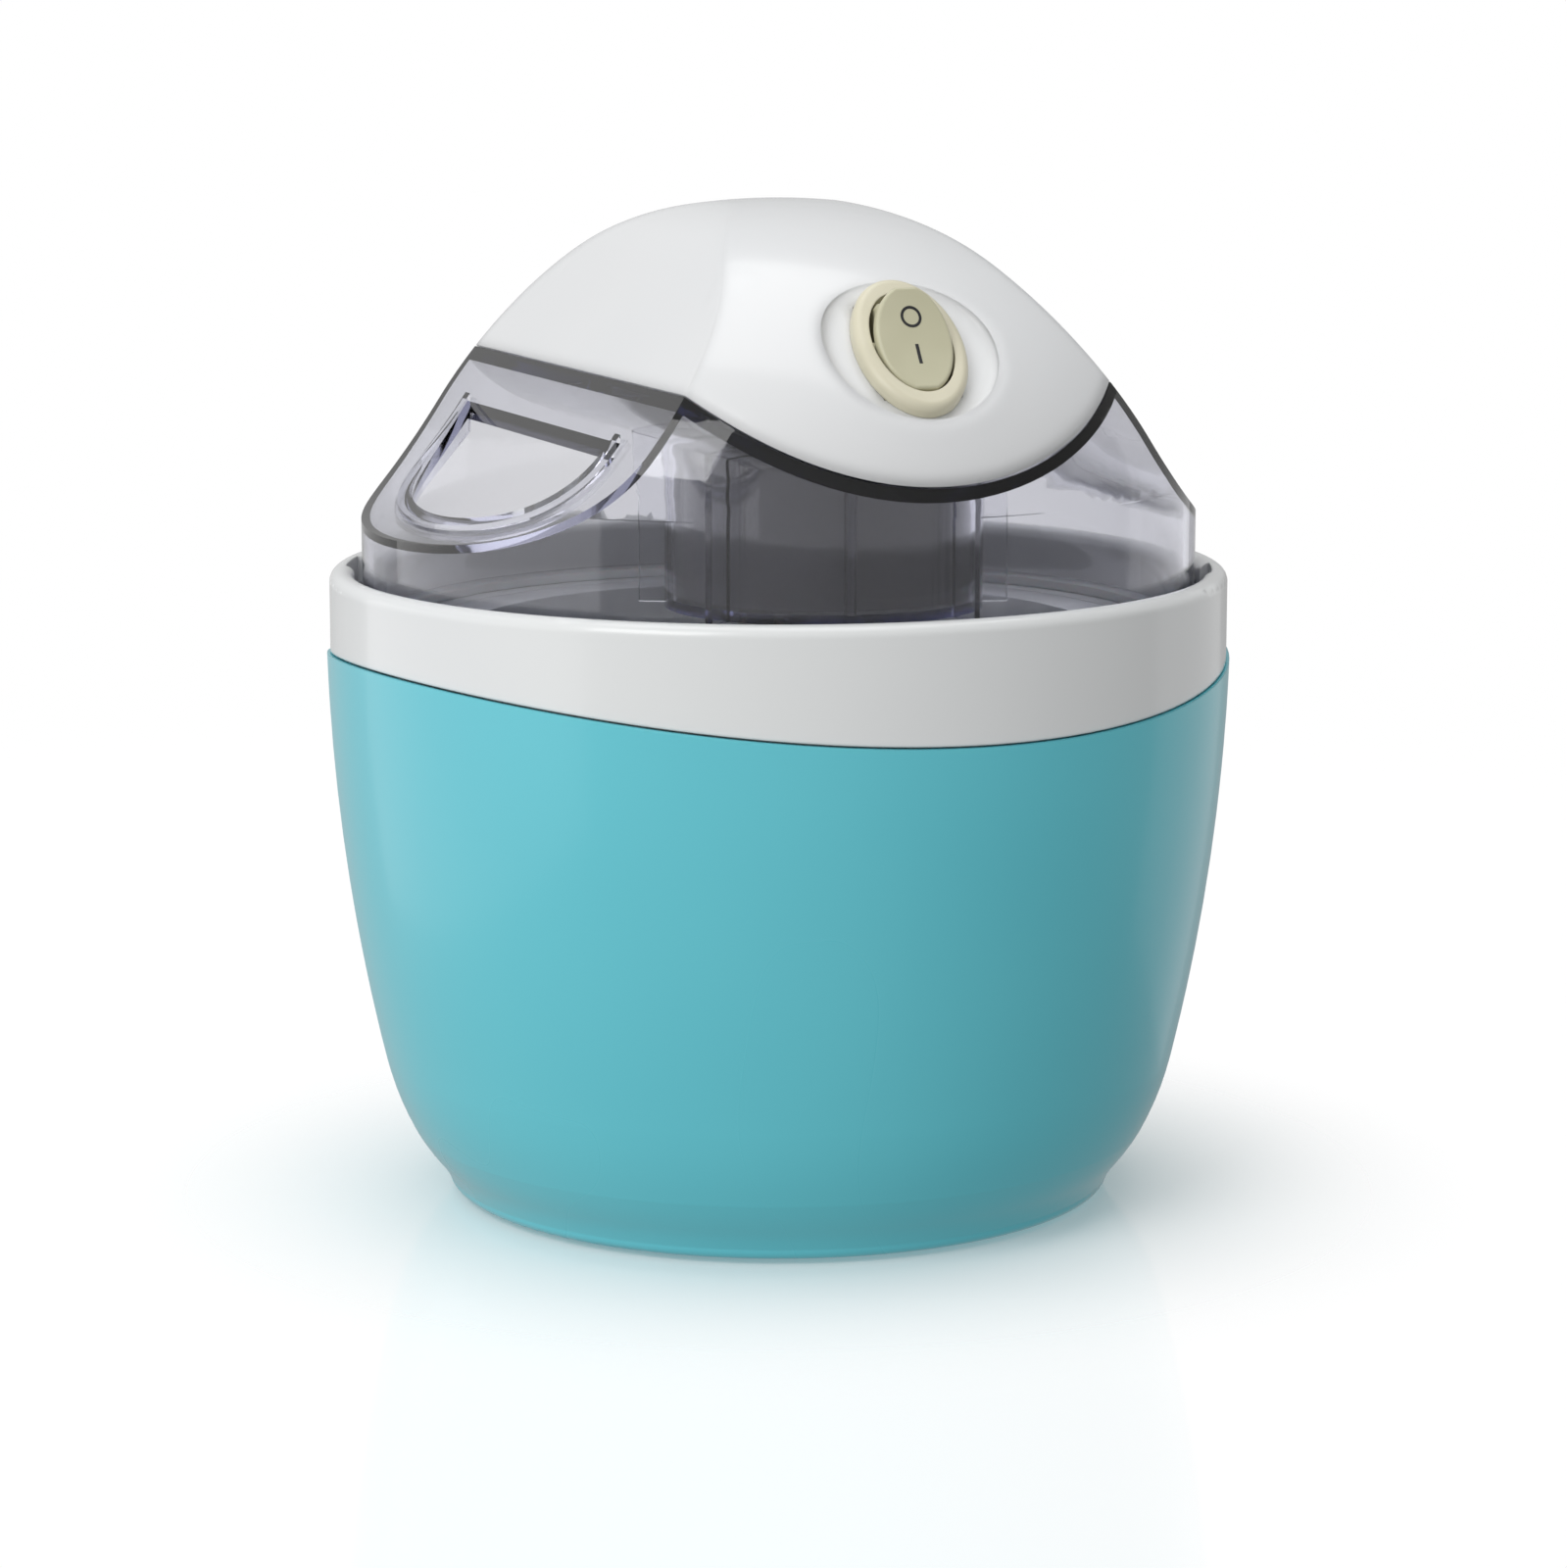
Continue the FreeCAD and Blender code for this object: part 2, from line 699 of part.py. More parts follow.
def make_lid():
    """Clear lid: outer wall, curved deck, round pocket for the motor unit, D opening, tabs."""
    outside = faceted_dome("lid_outside", 0.0, dim.lid_bottom)
    form = cut("lid_form", outside, split_cylinder("lid_split", 0.0))
    inside = faceted_dome("lid_inside", dim.lid_wall, dim.lid_bottom - 5.0)
    hollow = cut("lid_hollow", inside, split_cylinder("lid_deck_underside", dim.lid_deck))
    shell = cut("lid_shell", form, hollow)
    x = dim.well_offset
    pocket = dim.pocket_radius
    column = cylinder("lid_column", pocket, dim.pocket_floor, 175.0, x)
    blocks = [column]
    for number, angle in enumerate(RIB_ANGLES):
        rib = box(f"lid_rib{number}", (0.0, -0.8, dim.pocket_floor), (pocket + 5.0, 0.8, 175.0))
        rib.Placement = Placement(Vector(float(x), 0, float(dim.pocket_floor)),
                                  Rotation(Vector(0, 0, 1), angle))
        blocks.append(rib)
    inner_form = common("lid_column_form", fuse("lid_column_blocks", *blocks), form)
    opening = half_oval("lid_opening", 0.0)
    lip_form = half_oval("lid_lip_form", dim.opening_lip)
    lip_top = cut("lid_lip_top", lip_form, facet_cutter("lid_lip_above", -0.9, left=True))
    lip = common("lid_lip", lip_top, facet_cutter("lid_lip_below", 3.4, left=True))
    tabs = []
    for number, angle in enumerate(TAB_ANGLES):
        low = dim.tab_bottom
        block = sector(f"lid_tab_block{number}", dim.tab_radius, low, low + dim.tab_height,
                       angle - TAB_SWEEP / 2, TAB_SWEEP)
        bore = cylinder(f"lid_tab_bore{number}", dim.dome_radius - 1.0, 100.0, 120.0)
        tabs.append(cut(f"lid_tab{number}", block, bore))
    whole = fuse("lid_whole", shell, inner_form, lip, *tabs)
    hollow_pocket = cylinder("lid_pocket", pocket - dim.pocket_wall, dim.pocket_floor + 1.8, 220.0, x)
    shaft_hole = cylinder("lid_shaft_hole", 6.0, 100.0, 130.0)
    keep("lid", cut("lid_cut", whole, hollow_pocket, shaft_hole, opening))


def make_gasket():
    """Flat silicone ring between the bowl's flange and the foot of the lid."""
    keep("lid_gasket", turned("gasket_ring", [
        (dim.dome_radius - 5.0, dim.bowl_top + 0.1),
        (dim.dome_radius - 1.0, dim.bowl_top + 0.1),
        (dim.dome_radius - 1.0, dim.lid_bottom - 0.3),
        (dim.dome_radius - 5.0, dim.lid_bottom - 0.3),
    ]))


# ---------------------------------------------------------------- gear train

PRESSURE_ANGLE = 25.0
BACKLASH = 0.12
PINION_TEETH = 12
WHEEL_TEETH = 40
OUTPUT_TEETH = 42
FAST_MODULE = 0.5
MIDDLE_MODULE = 0.6
SLOW_MODULE = 0.7
GEAR_2_ANGLE = 25.0
GEAR_1_ANGLE = -80.0
MOTOR_ANGLE = 150.0
PIN_RADIUS = 1.0
PIN_CLEARANCE = 0.05
POST_ANGLES = (3.0, 90.0, 250.0)
POST_CIRCLE = 22.5


def mesh_distance(module, teeth_a, teeth_b):
    return module * (teeth_a + teeth_b) / 2


def away(start, distance, degrees):
    x, y = polar(distance, degrees)
    return start[0] + x, start[1] + y


OUTPUT_AXIS = (0.0, 0.0)
GEAR_2_AXIS = away(OUTPUT_AXIS, mesh_distance(SLOW_MODULE, OUTPUT_TEETH, PINION_TEETH), GEAR_2_ANGLE)
GEAR_1_AXIS = away(GEAR_2_AXIS, mesh_distance(MIDDLE_MODULE, WHEEL_TEETH, PINION_TEETH), GEAR_1_ANGLE)
MOTOR_AXIS = away(GEAR_1_AXIS, mesh_distance(FAST_MODULE, WHEEL_TEETH, PINION_TEETH), MOTOR_ANGLE)


def mating_phase(direction, phase, teeth, other_teeth):
    """Angle of a tooth on the next gear so that it meshes with a gear at `phase`."""
    pitch = 360.0 / teeth
    other_pitch = 360.0 / other_teeth
    share = ((direction - phase) / pitch) % 1.0
    return direction + 180.0 + (share + 0.5) * other_pitch


GEAR_2_SMALL_PHASE = mating_phase(GEAR_2_ANGLE, 0.0, OUTPUT_TEETH, PINION_TEETH)
GEAR_1_SMALL_PHASE = mating_phase(GEAR_1_ANGLE, 0.0, WHEEL_TEETH, PINION_TEETH)
MOTOR_PINION_PHASE = mating_phase(MOTOR_ANGLE, 0.0, WHEEL_TEETH, PINION_TEETH)


def gear_solid(module, teeth, phase, axis, low, high):
    """Spur gear with involute flanks, a little thin so that a pair runs with backlash."""
    pitch_radius = module * teeth / 2
    base_radius = pitch_radius * math.cos(math.radians(PRESSURE_ANGLE))
    tip_radius = pitch_radius + module
    root_radius = pitch_radius - 1.25 * module
    involute = math.tan(math.radians(PRESSURE_ANGLE)) - math.radians(PRESSURE_ANGLE)
    half_tooth = math.pi / (2 * teeth) - BACKLASH / (4 * pitch_radius)
    start_radius = max(base_radius, root_radius)
    flank = []
    for step in range(5):
        radius = start_radius + (tip_radius - start_radius) * step / 4
        local = math.acos(min(1.0, base_radius / radius))
        flank.append((radius, half_tooth + involute - (math.tan(local) - local)))
    if root_radius < start_radius:
        flank.insert(0, (root_radius, flank[0][1]))
    points = []
    for tooth in range(teeth):
        centre = math.radians(phase) + 2 * math.pi * tooth / teeth
        for radius, offset in flank:
            points.append((radius, centre - offset))
        for radius, offset in reversed(flank):
            points.append((radius, centre + offset))
    corners = [Vector(radius * math.cos(turn), radius * math.sin(turn), 0) for radius, turn in points]
    face = Part.Face(Part.Wire(Part.makePolygon(corners + corners[:1]).Edges))
    solid = face.extrude(Vector(0, 0, high - low))
    solid.translate(Vector(axis[0], axis[1], low))
    return solid


def upright(radius, low, high, axis=(0.0, 0.0)):
    return Part.makeCylinder(radius, high - low, Vector(axis[0], axis[1], low))


def shaped(node, shape):
    """A sub-part whose shape is worked out here rather than sketched."""
    thing = doc.addObject("Part::Feature", f"{node}_shape")
    thing.Shape = shape
    return keep(node, thing)


def make_gear_train(plate):
    """Motor pinion, two compound gears and the output gear, on three levels under the plate."""
    fast = (plate - 5.0, plate - 2.0)
    middle = (plate - 9.0, plate - 6.0)
    slow = (plate - 14.5, plate - 10.0)
    bore = PIN_RADIUS + PIN_CLEARANCE
    gear_1 = gear_solid(FAST_MODULE, WHEEL_TEETH, 0.0, GEAR_1_AXIS, *fast)
    gear_1 = gear_1.fuse(gear_solid(MIDDLE_MODULE, PINION_TEETH, GEAR_1_SMALL_PHASE, GEAR_1_AXIS,
                                    middle[0], fast[0]))
    gear_1 = gear_1.fuse(upright(2.2, fast[1], plate - 0.4, GEAR_1_AXIS))
    shaped("gear_1", gear_1.cut(upright(bore, 100.0, 150.0, GEAR_1_AXIS)))
    gear_2 = gear_solid(MIDDLE_MODULE, WHEEL_TEETH, 0.0, GEAR_2_AXIS, *middle)
    gear_2 = gear_2.fuse(gear_solid(SLOW_MODULE, PINION_TEETH, GEAR_2_SMALL_PHASE, GEAR_2_AXIS,
                                    slow[0], middle[0]))
    gear_2 = gear_2.fuse(upright(2.4, middle[1], plate - 0.4, GEAR_2_AXIS))
    shaped("gear_2", gear_2.cut(upright(bore, 100.0, 150.0, GEAR_2_AXIS)))
    shaft = float(dim.shaft_radius)
    output = gear_solid(SLOW_MODULE, OUTPUT_TEETH, 0.0, OUTPUT_AXIS, *slow)
    output = output.fuse(upright(5.0, slow[1], slow[1] + 3.5))
    shaped("output_gear", output.cut(upright(shaft, 100.0, 150.0)))
    pinion = gear_solid(FAST_MODULE, PINION_TEETH, MOTOR_PINION_PHASE, MOTOR_AXIS,
                        fast[0] - 0.2, fast[1] + 1.0)
    shaped("motor_pinion", pinion.cut(upright(PIN_RADIUS, 100.0, 150.0, MOTOR_AXIS)))
    pins = [upright(PIN_RADIUS, float(dim.cup_bottom) + 0.8, plate + 1.4, axis)
            for axis in (GEAR_1_AXIS, GEAR_2_AXIS)]
    shaped("gear_pins", Part.makeCompound(pins))


def make_output_shaft(plate):
    """Round spindle with a thin top journal and a hexagonal drive end below its bush."""
    shaft = float(dim.shaft_radius)
    bottom = float(dim.cup_bottom)
    solid = upright(shaft, bottom - 0.6, plate - 0.5)
    solid = solid.fuse(upright(1.5, plate - 0.6, plate + 1.6))
    flats = float(dim.drive_flats)
    across = flats / math.sqrt(3)
    low = float(dim.drive_bottom)
    corners = [Vector(*polar(across, 60.0 * turn), low) for turn in range(7)]
    hexagon = Part.Face(Part.makePolygon(corners)).extrude(Vector(0, 0, bottom - low))
    shaped("output_shaft", solid.fuse(hexagon).removeSplitter())
    bush = upright(5.0, bottom - 0.2, bottom + 2.9).fuse(upright(6.4, bottom + 2.0, bottom + 2.9))
    shaped("output_bush", bush.cut(upright(shaft + PIN_CLEARANCE, 100.0, 140.0)))


def make_motor(plate):
    """Small permanent-magnet motor standing on the gear plate."""
    radius = float(dim.motor_radius)
    low = plate + float(dim.plate_thickness)
    high = low + float(dim.motor_length)
    can = upright(radius, low, high, MOTOR_AXIS)
    can = can.cut(upright(radius - 0.8, low + 0.9, high + 1.0, MOTOR_AXIS))
    can = can.cut(upright(PIN_RADIUS + PIN_CLEARANCE, 100.0, 200.0, MOTOR_AXIS))
    shaped("motor_can", can)
    ring = upright(radius - 0.8, low + 3.0, high - 5.0, MOTOR_AXIS)
    ring = ring.cut(upright(radius - 2.8, low, high, MOTOR_AXIS))
    gap = Part.makeBox(60.0, 4.0, 60.0, Vector(MOTOR_AXIS[0] - 30.0, MOTOR_AXIS[1] - 2.0, low))
    shaped("motor_magnets", ring.cut(gap))
    core = upright(radius - 3.3, low + 4.0, high - 6.0, MOTOR_AXIS)
    for turn in (90.0, 210.0, 330.0):
        slot = Part.makeBox(7.0, 1.6, 40.0, Vector(3.5, -0.8, low))
        slot.rotate(Vector(0, 0, 0), Vector(0, 0, 1), turn)
        slot.translate(Vector(MOTOR_AXIS[0], MOTOR_AXIS[1], 0))
        core = core.cut(slot)
    core = core.fuse(upright(3.2, high - 6.0, high - 1.2, MOTOR_AXIS))
    shaped("motor_armature", core.cut(upright(PIN_RADIUS, 100.0, 200.0, MOTOR_AXIS)))
    shaped("motor_shaft", upright(PIN_RADIUS, plate - 5.4, high + 1.4, MOTOR_AXIS))
    end = upright(radius, high, high + 1.6, MOTOR_AXIS)
    end = end.fuse(upright(radius - 0.85, high - 0.9, high, MOTOR_AXIS))
    end = end.fuse(upright(3.6, high + 1.6, high + 2.6, MOTOR_AXIS))
    end = end.cut(upright(PIN_RADIUS + PIN_CLEARANCE, 100.0, high + 1.9, MOTOR_AXIS))
    for side in (-1.0, 1.0):
        tag = Part.makeBox(2.6, 0.5, 4.0, Vector(MOTOR_AXIS[0] - 1.3, MOTOR_AXIS[1] + side * 8.0, high + 1.5))
        end = end.fuse(tag)
    shaped("motor_end_cap", end)


def make_gearbox_plate():
    """Steel plate over the gears that carries the motor, held by three screws."""
    low = dim.plate_bottom
    high = low + dim.plate_thickness
    disc = cylinder("plate_disc", dim.cup_radius - dim.cup_wall - 0.3, low, high, dim.well_offset)
    holes = [
        cylinder("plate_output_hole", 1.55, 100.0, 200.0),
        cylinder("plate_motor_hole", 3.9, 100.0, 200.0, *MOTOR_AXIS),
        cylinder("plate_pin_hole1", PIN_RADIUS, 100.0, low + 1.4, *GEAR_1_AXIS),
        cylinder("plate_pin_hole2", PIN_RADIUS, 100.0, low + 1.4, *GEAR_2_AXIS),
    ]
    screws = []
    for number, angle in enumerate(POST_ANGLES):
        x, y = away((float(dim.well_offset), 0.0), POST_CIRCLE, angle)
        holes.append(cylinder(f"plate_screw_hole{number}", 1.3, 100.0, 200.0, x, y))
        top = float(high)
        head = cylinder(f"plate_screw_head{number}", 2.2, top, top + 1.4, x, y)
        shank = cylinder(f"plate_screw_shank{number}", 1.0, top - 7.0, top + 0.2, x, y)
        slot = box(f"plate_screw_slot{number}", (x - 1.5, y - 0.3, top + 0.8),
                   (x + 1.5, y + 0.3, top + 2.0))
        screws.append(cut(f"plate_screw{number}", fuse(f"plate_screw_blank{number}", head, shank), slot))
    keep("gearbox_plate", cut("gearbox_plate_cut", disc, *holes))
    keep("gearbox_screws", group("gearbox_screw_set", screws))


# ---------------------------------------------------------------- motor unit

COVER_SCREWS = ((-24.0, -42.0), (24.0, -42.0), (-24.0, 42.0), (24.0, 42.0))
COVER_SCREW_SEAT = 147.0
DISH_ROUND = 1.4


def switch_frame(depth=0.0, turn=0.0):
    """Placement on the sloping front: local Z leaves the cover, local Y runs uphill."""
    tilt = Rotation(Vector(1, 0, 0), float(dim.switch_tilt))
    origin = Vector(0, -float(dim.switch_forward), float(dim.switch_height))
    origin = origin + tilt.multVec(Vector(0, 0, depth))
    return Placement(origin, tilt.multiply(Rotation(Vector(0, 0, 1), turn)))


def oval(name, length, width, low, high):
    """Elliptical prism square to the switch face, its long axis uphill."""
    curve = doc.addObject("Part::Ellipse", f"{name}_curve")
    bind(curve, "MajorRadius", length / 2)
    bind(curve, "MinorRadius", width / 2)
    curve.Placement = switch_frame(low, 90.0)
    prism = doc.addObject("Part::Extrusion", name)
    prism.Base = curve
    prism.DirMode = "Custom"
    prism.Dir = switch_frame().Rotation.multVec(Vector(0, 0, 1))
    bind(prism, "LengthFwd", high - low)
    prism.Solid = True
    return prism


def switch_block(name, low, high):
    """A box in the switch's own frame."""
    thing = doc.addObject("Part::Box", name)
    thing.Length, thing.Width, thing.Height = (b - a for a, b in zip(low, high))
    frame = switch_frame()
    thing.Placement = Placement(frame.multVec(Vector(*low)), frame.Rotation)
    return thing


def above_split(name, solid, gap):
    return common(name, solid, split_cylinder(f"{name}_split", -gap))


def on_dish_floor(edge):
    """Whether an edge runs round the foot of the dish."""
    inward = switch_frame().inverse()
    return edge.Closed and abs(inward.multVec(edge.CenterOfMass).z) < 0.05


def make_motor_cover():
    """White saddle-shaped cover, hollow from below, with a dished seat for the switch."""
    wall = dim.cover_wall
    outside = above_split("cover_form", faceted_dome("cover_outside", 0.0, dim.dome_spring - 10.0),
                          dim.split_gap)
    inside = above_split("cover_hollow", faceted_dome("cover_inside", wall, dim.dome_spring - 12.0), 0.0)
    left_solid = [oval("cover_pad", 38.0, 37.0, -wall, 12.0)]
    holes = []
    for number, (x, y) in enumerate(COVER_SCREWS):
        left_solid.append(cylinder(f"cover_post{number}", 3.6, COVER_SCREW_SEAT + 4.2, 200.0, x, y))
        holes.append(cylinder(f"cover_pilot{number}", 1.3, 140.0, COVER_SCREW_SEAT + 15.0, x, y))
    shell = cut("cover_shell", outside, cut("cover_cavity", inside, *left_solid))
    boss = doc.addObject("Part::Cylinder", "cover_cord_boss")
    boss.Radius = 7.2
    boss.Height = 12.0
    place(boss, 0.0, 63.4, dim.cord_height, Rotation(Vector(1, 0, 0), -90))
    boss_cut = above_split("cover_cord_boss_cut", boss, dim.split_gap)
    bore = doc.addObject("Part::Cylinder", "cover_cord_hole")
    bore.Radius = 4.8
    bore.Height = 40.0
    place(bore, 0.0, 50.0, dim.cord_height, Rotation(Vector(1, 0, 0), -90))
    dish = oval("cover_dish", dim.dish_length, dim.dish_width, 0.0, 20.0)
    soft_dish = rounded("cover_dish_soft", dish, DISH_ROUND, on_dish_floor)
    window = switch_block("cover_window", (-7.3, -10.3, -20.0), (7.3, 10.3, 10.0))
    whole = fuse("cover_whole", shell, boss_cut)
    keep("motor_cover", cut("motor_cover_cut", whole, soft_dish, window, bore, *holes))


def make_motor_base():
    """Grey base that closes the cover and hangs the gear cup into the lid's pocket."""
    gap = dim.split_gap
    inside = faceted_dome("base_plate_outside", dim.cover_wall + 0.2, dim.dome_spring - 10.0)
    lower = above_split("base_plate_low", inside, gap)
    plate = cut("base_plate", lower, split_cylinder("base_plate_top", -gap - 2.2))
    x = dim.well_offset
    radius = dim.cup_radius
    cup = cylinder("base_cup", radius, dim.cup_bottom, 175.0, x)
    cup_low = cut("base_cup_low", cup, split_cylinder("base_cup_top", -gap - 2.2))
    blocks = [plate, cup_low]
    bores = [cylinder("base_cup_bore", radius - dim.cup_wall, dim.cup_bottom + 2.0, 200.0, x)]
    fillings = []
    for number, (px, py) in enumerate(COVER_SCREWS):
        stud = cylinder(f"base_stud_blank{number}", 5.2, 135.0, COVER_SCREW_SEAT + 4.0, px, py)
        blocks.append(common(f"base_stud{number}", stud, lower))
        bores.append(cylinder(f"base_head_hole{number}", 3.3, 120.0, COVER_SCREW_SEAT + 2.0, px, py))
        bores.append(cylinder(f"base_shank_hole{number}", 1.6, 120.0, 180.0, px, py))
    for number, angle in enumerate(POST_ANGLES):
        px, py = away((float(x), 0.0), POST_CIRCLE, angle)
        post = cylinder(f"base_post{number}", 2.8, dim.cup_bottom + 1.0, dim.plate_bottom, px, py)
        pilot = cylinder(f"base_post_pilot{number}", 1.0, dim.plate_bottom - 6.5, 150.0, px, py)
        fillings.append(cut(f"base_post_bored{number}", post, pilot))
    for number, axis in enumerate((GEAR_1_AXIS, GEAR_2_AXIS)):
        seat = cylinder(f"base_pin_seat{number}", 2.4, dim.cup_bottom + 1.0, dim.cup_bottom + 3.4, *axis)
        fillings.append(seat)
    hollowed = cut("base_hollowed", fuse("base_blocks", *blocks), *bores)
    filled = fuse("base_filled", hollowed, *fillings)
    final = [cylinder("base_bush_hole", 5.0, 100.0, 130.0)]
    for number, axis in enumerate((GEAR_1_AXIS, GEAR_2_AXIS)):
        final.append(cylinder(f"base_pin_hole{number}", PIN_RADIUS, dim.cup_bottom + 0.8, 130.0, *axis))
    keep("motor_base", cut("motor_base_cut", filled, *final))
    screws = [screw(f"cover_screw{number}", px, py, COVER_SCREW_SEAT, 3.0, 2.0, 1.3, 12.0)
              for number, (px, py) in enumerate(COVER_SCREWS)]
    keep("cover_screws", group("cover_screw_set", screws))


def make_switch():
    """Oval bezel with its housing, two spade terminals and the rocker."""
    length = dim.bezel_length
    width = dim.bezel_width
    thick = dim.bezel_thickness
    ring = oval("switch_ring", length, width, 0.05, thick)
    top = float(thick)

    def upper_rim(edge):
        inward = switch_frame().inverse()
        return abs(inward.multVec(edge.CenterOfMass).z - top) < 0.05

    bezel = rounded("switch_ring_round", ring, 1.4, upper_rim)
    housing = switch_block("switch_case", (-7.1, -10.1, -13.0), (7.1, 10.1, 0.5))
    body = fuse("switch_solid", bezel, housing)
    window = oval("switch_window", length - 7.2, width - 5.2, -0.1, 9.0)
    hollow = switch_block("switch_cavity", (-6.3, -9.4, -9.0), (6.3, 9.4, 2.0))
    sockets = doc.addObject("Part::Cylinder", "switch_sockets")
    sockets.Radius = ROCKER_PIN + PIN_CLEARANCE
    sockets.Height = 2 * (ROCKER_PIN_REACH + 0.2)
    frame = switch_frame(ROCKER_PIVOT)
    across = frame.Rotation.multiply(Rotation(Vector(0, 1, 0), 90))
    sockets.Placement = Placement(frame.multVec(Vector(-ROCKER_PIN_REACH - 0.2, 0, 0)), across)
    keep("switch_body", cut("switch_body_cut", body, window, hollow, sockets))
    blades = [switch_block(f"switch_blade{number}", (-0.4, centre - 2.4, -19.0), (0.4, centre + 2.4, -13.0))
              for number, centre in enumerate((-5.0, 5.0))]
    keep("switch_terminals", group("switch_terminal_set", blades))
    make_rocker()


ROCKER_PIVOT = 1.6
ROCKER_PIN = 0.8
ROCKER_PIN_REACH = 8.5
ROCKER_REST = 13.0
ROCKER_LENGTH = 20.2
ROCKER_WIDTH = 13.6
ROCKER_TOP = 2.7
ROCKER_DISH = 64.0
ROCKER_UNDERSIDE = 0.9
ROCKER_ROUND = 0.6


def make_rocker():
    """Oval rocker with a dished top, leaning so that its upper end stands proud."""
    half = ROCKER_LENGTH / 2
    curve = Part.Ellipse(Vector(0, 0, ROCKER_UNDERSIDE), half, ROCKER_WIDTH / 2)
    face = Part.Face(Part.Wire([curve.toShape()]))
    face.rotate(Vector(0, 0, 0), Vector(0, 0, 1), 90.0)
    barrel = Part.makeCylinder(half, 30.0, Vector(-15, 0, 0), Vector(1, 0, 0))
    block = face.extrude(Vector(0, 0, 20.0)).common(barrel)
    dish = Vector(-15, 0, ROCKER_TOP + ROCKER_DISH)
    block = block.cut(Part.makeCylinder(ROCKER_DISH, 30.0, dish, Vector(1, 0, 0)))
    rim = [edge for edge in block.Edges if edge.CenterOfMass.z > ROCKER_TOP]
    block = block.makeFillet(ROCKER_ROUND, rim)
    keel = Part.makeBox(10.0, 15.0, 5.0, Vector(-5.0, -7.5, -3.6))
    keel = keel.common(Part.makeCylinder(8.0, 30.0, Vector(-15, 0, 0), Vector(1, 0, 0)))
    reach = ROCKER_PIN_REACH
    pin = Part.makeCylinder(ROCKER_PIN, 2 * reach, Vector(-reach, 0, 0), Vector(1, 0, 0))
    block = block.fuse([keel, pin])
    block.rotate(Vector(0, 0, 0), Vector(1, 0, 0), ROCKER_REST)
    block.Placement = switch_frame(ROCKER_PIVOT).multiply(block.Placement)
    shaped("switch_rocker", block)


def make_electrics():
    """Rectifier board on the base plate and the rubber grommet where the cord comes in."""
    low = 149.5
    board = box("board_plate", (-12.0, 30.0, low), (12.0, 31.6, low + 14.0))
    parts = [board]
    for number, x in enumerate((-8.0, -3.0)):
        parts.append(box(f"board_diode{number}", (x - 1.5, 31.4, low + 2.0), (x + 1.5, 34.2, low + 8.0)))
    can = doc.addObject("Part::Cylinder", "board_capacitor")
    can.Radius = 3.6
    can.Height = 9.0
    place(can, 5.5, 31.4, low + 6.5, Rotation(Vector(1, 0, 0), -90))
    parts.append(can)
    parts.append(box("board_foot", (-4.0, 28.4, low - 8.3), (4.0, 30.0, low + 6.0)))
    keep("rectifier_board", fuse("rectifier_board_set", *parts))
    tube = doc.addObject("Part::Cylinder", "grommet_tube")
    tube.Radius = 4.8
    tube.Height = 12.4
    place(tube, 0.0, 63.2, dim.cord_height, Rotation(Vector(1, 0, 0), -90))
    collar = doc.addObject("Part::Cylinder", "grommet_collar")
    collar.Radius = 6.4
    collar.Height = 1.8
    place(collar, 0.0, 75.4, dim.cord_height, Rotation(Vector(1, 0, 0), -90))
    hole = doc.addObject("Part::Cylinder", "grommet_bore")
    bind(hole, "Radius", dim.cord_bore)
    hole.Height = 40.0
    place(hole, 0.0, 50.0, dim.cord_height, Rotation(Vector(1, 0, 0), -90))
    keep("cord_grommet", cut("cord_grommet_cut", fuse("grommet_solid", tube, collar), hole))


def make_motor_unit():
    plate = float(dim.plate_bottom)
    make_motor_cover()
    make_motor_base()
    make_gearbox_plate()
    make_gear_train(plate)
    make_output_shaft(plate)
    make_motor(plate)
    make_switch()
    make_electrics()


make_outer_shell()
make_inner_housing()
make_base_fittings()
make_freezer_bowl()
make_paddle()
make_lid()
make_gasket()
make_motor_unit()


# ---------------------------------------------------------------- write the sub-parts

doc.recompute()
failed = [thing.Label for thing in doc.Objects if {"Invalid", "Error"} & set(thing.State)]
if failed:
    raise RuntimeError(f"objects in error: {failed}")
os.makedirs("parts", exist_ok=True)
for node, thing in nodes.items():
    if thing.Shape.isNull() or not thing.Shape.isValid():
        raise RuntimeError(f"{node} has no valid shape")
    print(f"{node:20s} solids {len(thing.Shape.Solids)} volume {thing.Shape.Volume:10.1f}")
    thing.Shape.exportStep(f"parts/{node}.step")
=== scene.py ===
"""Looks of the ice cream maker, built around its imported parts."""
import json
import math

import bmesh
import bpy
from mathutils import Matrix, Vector
from mathutils.bvhtree import BVHTree


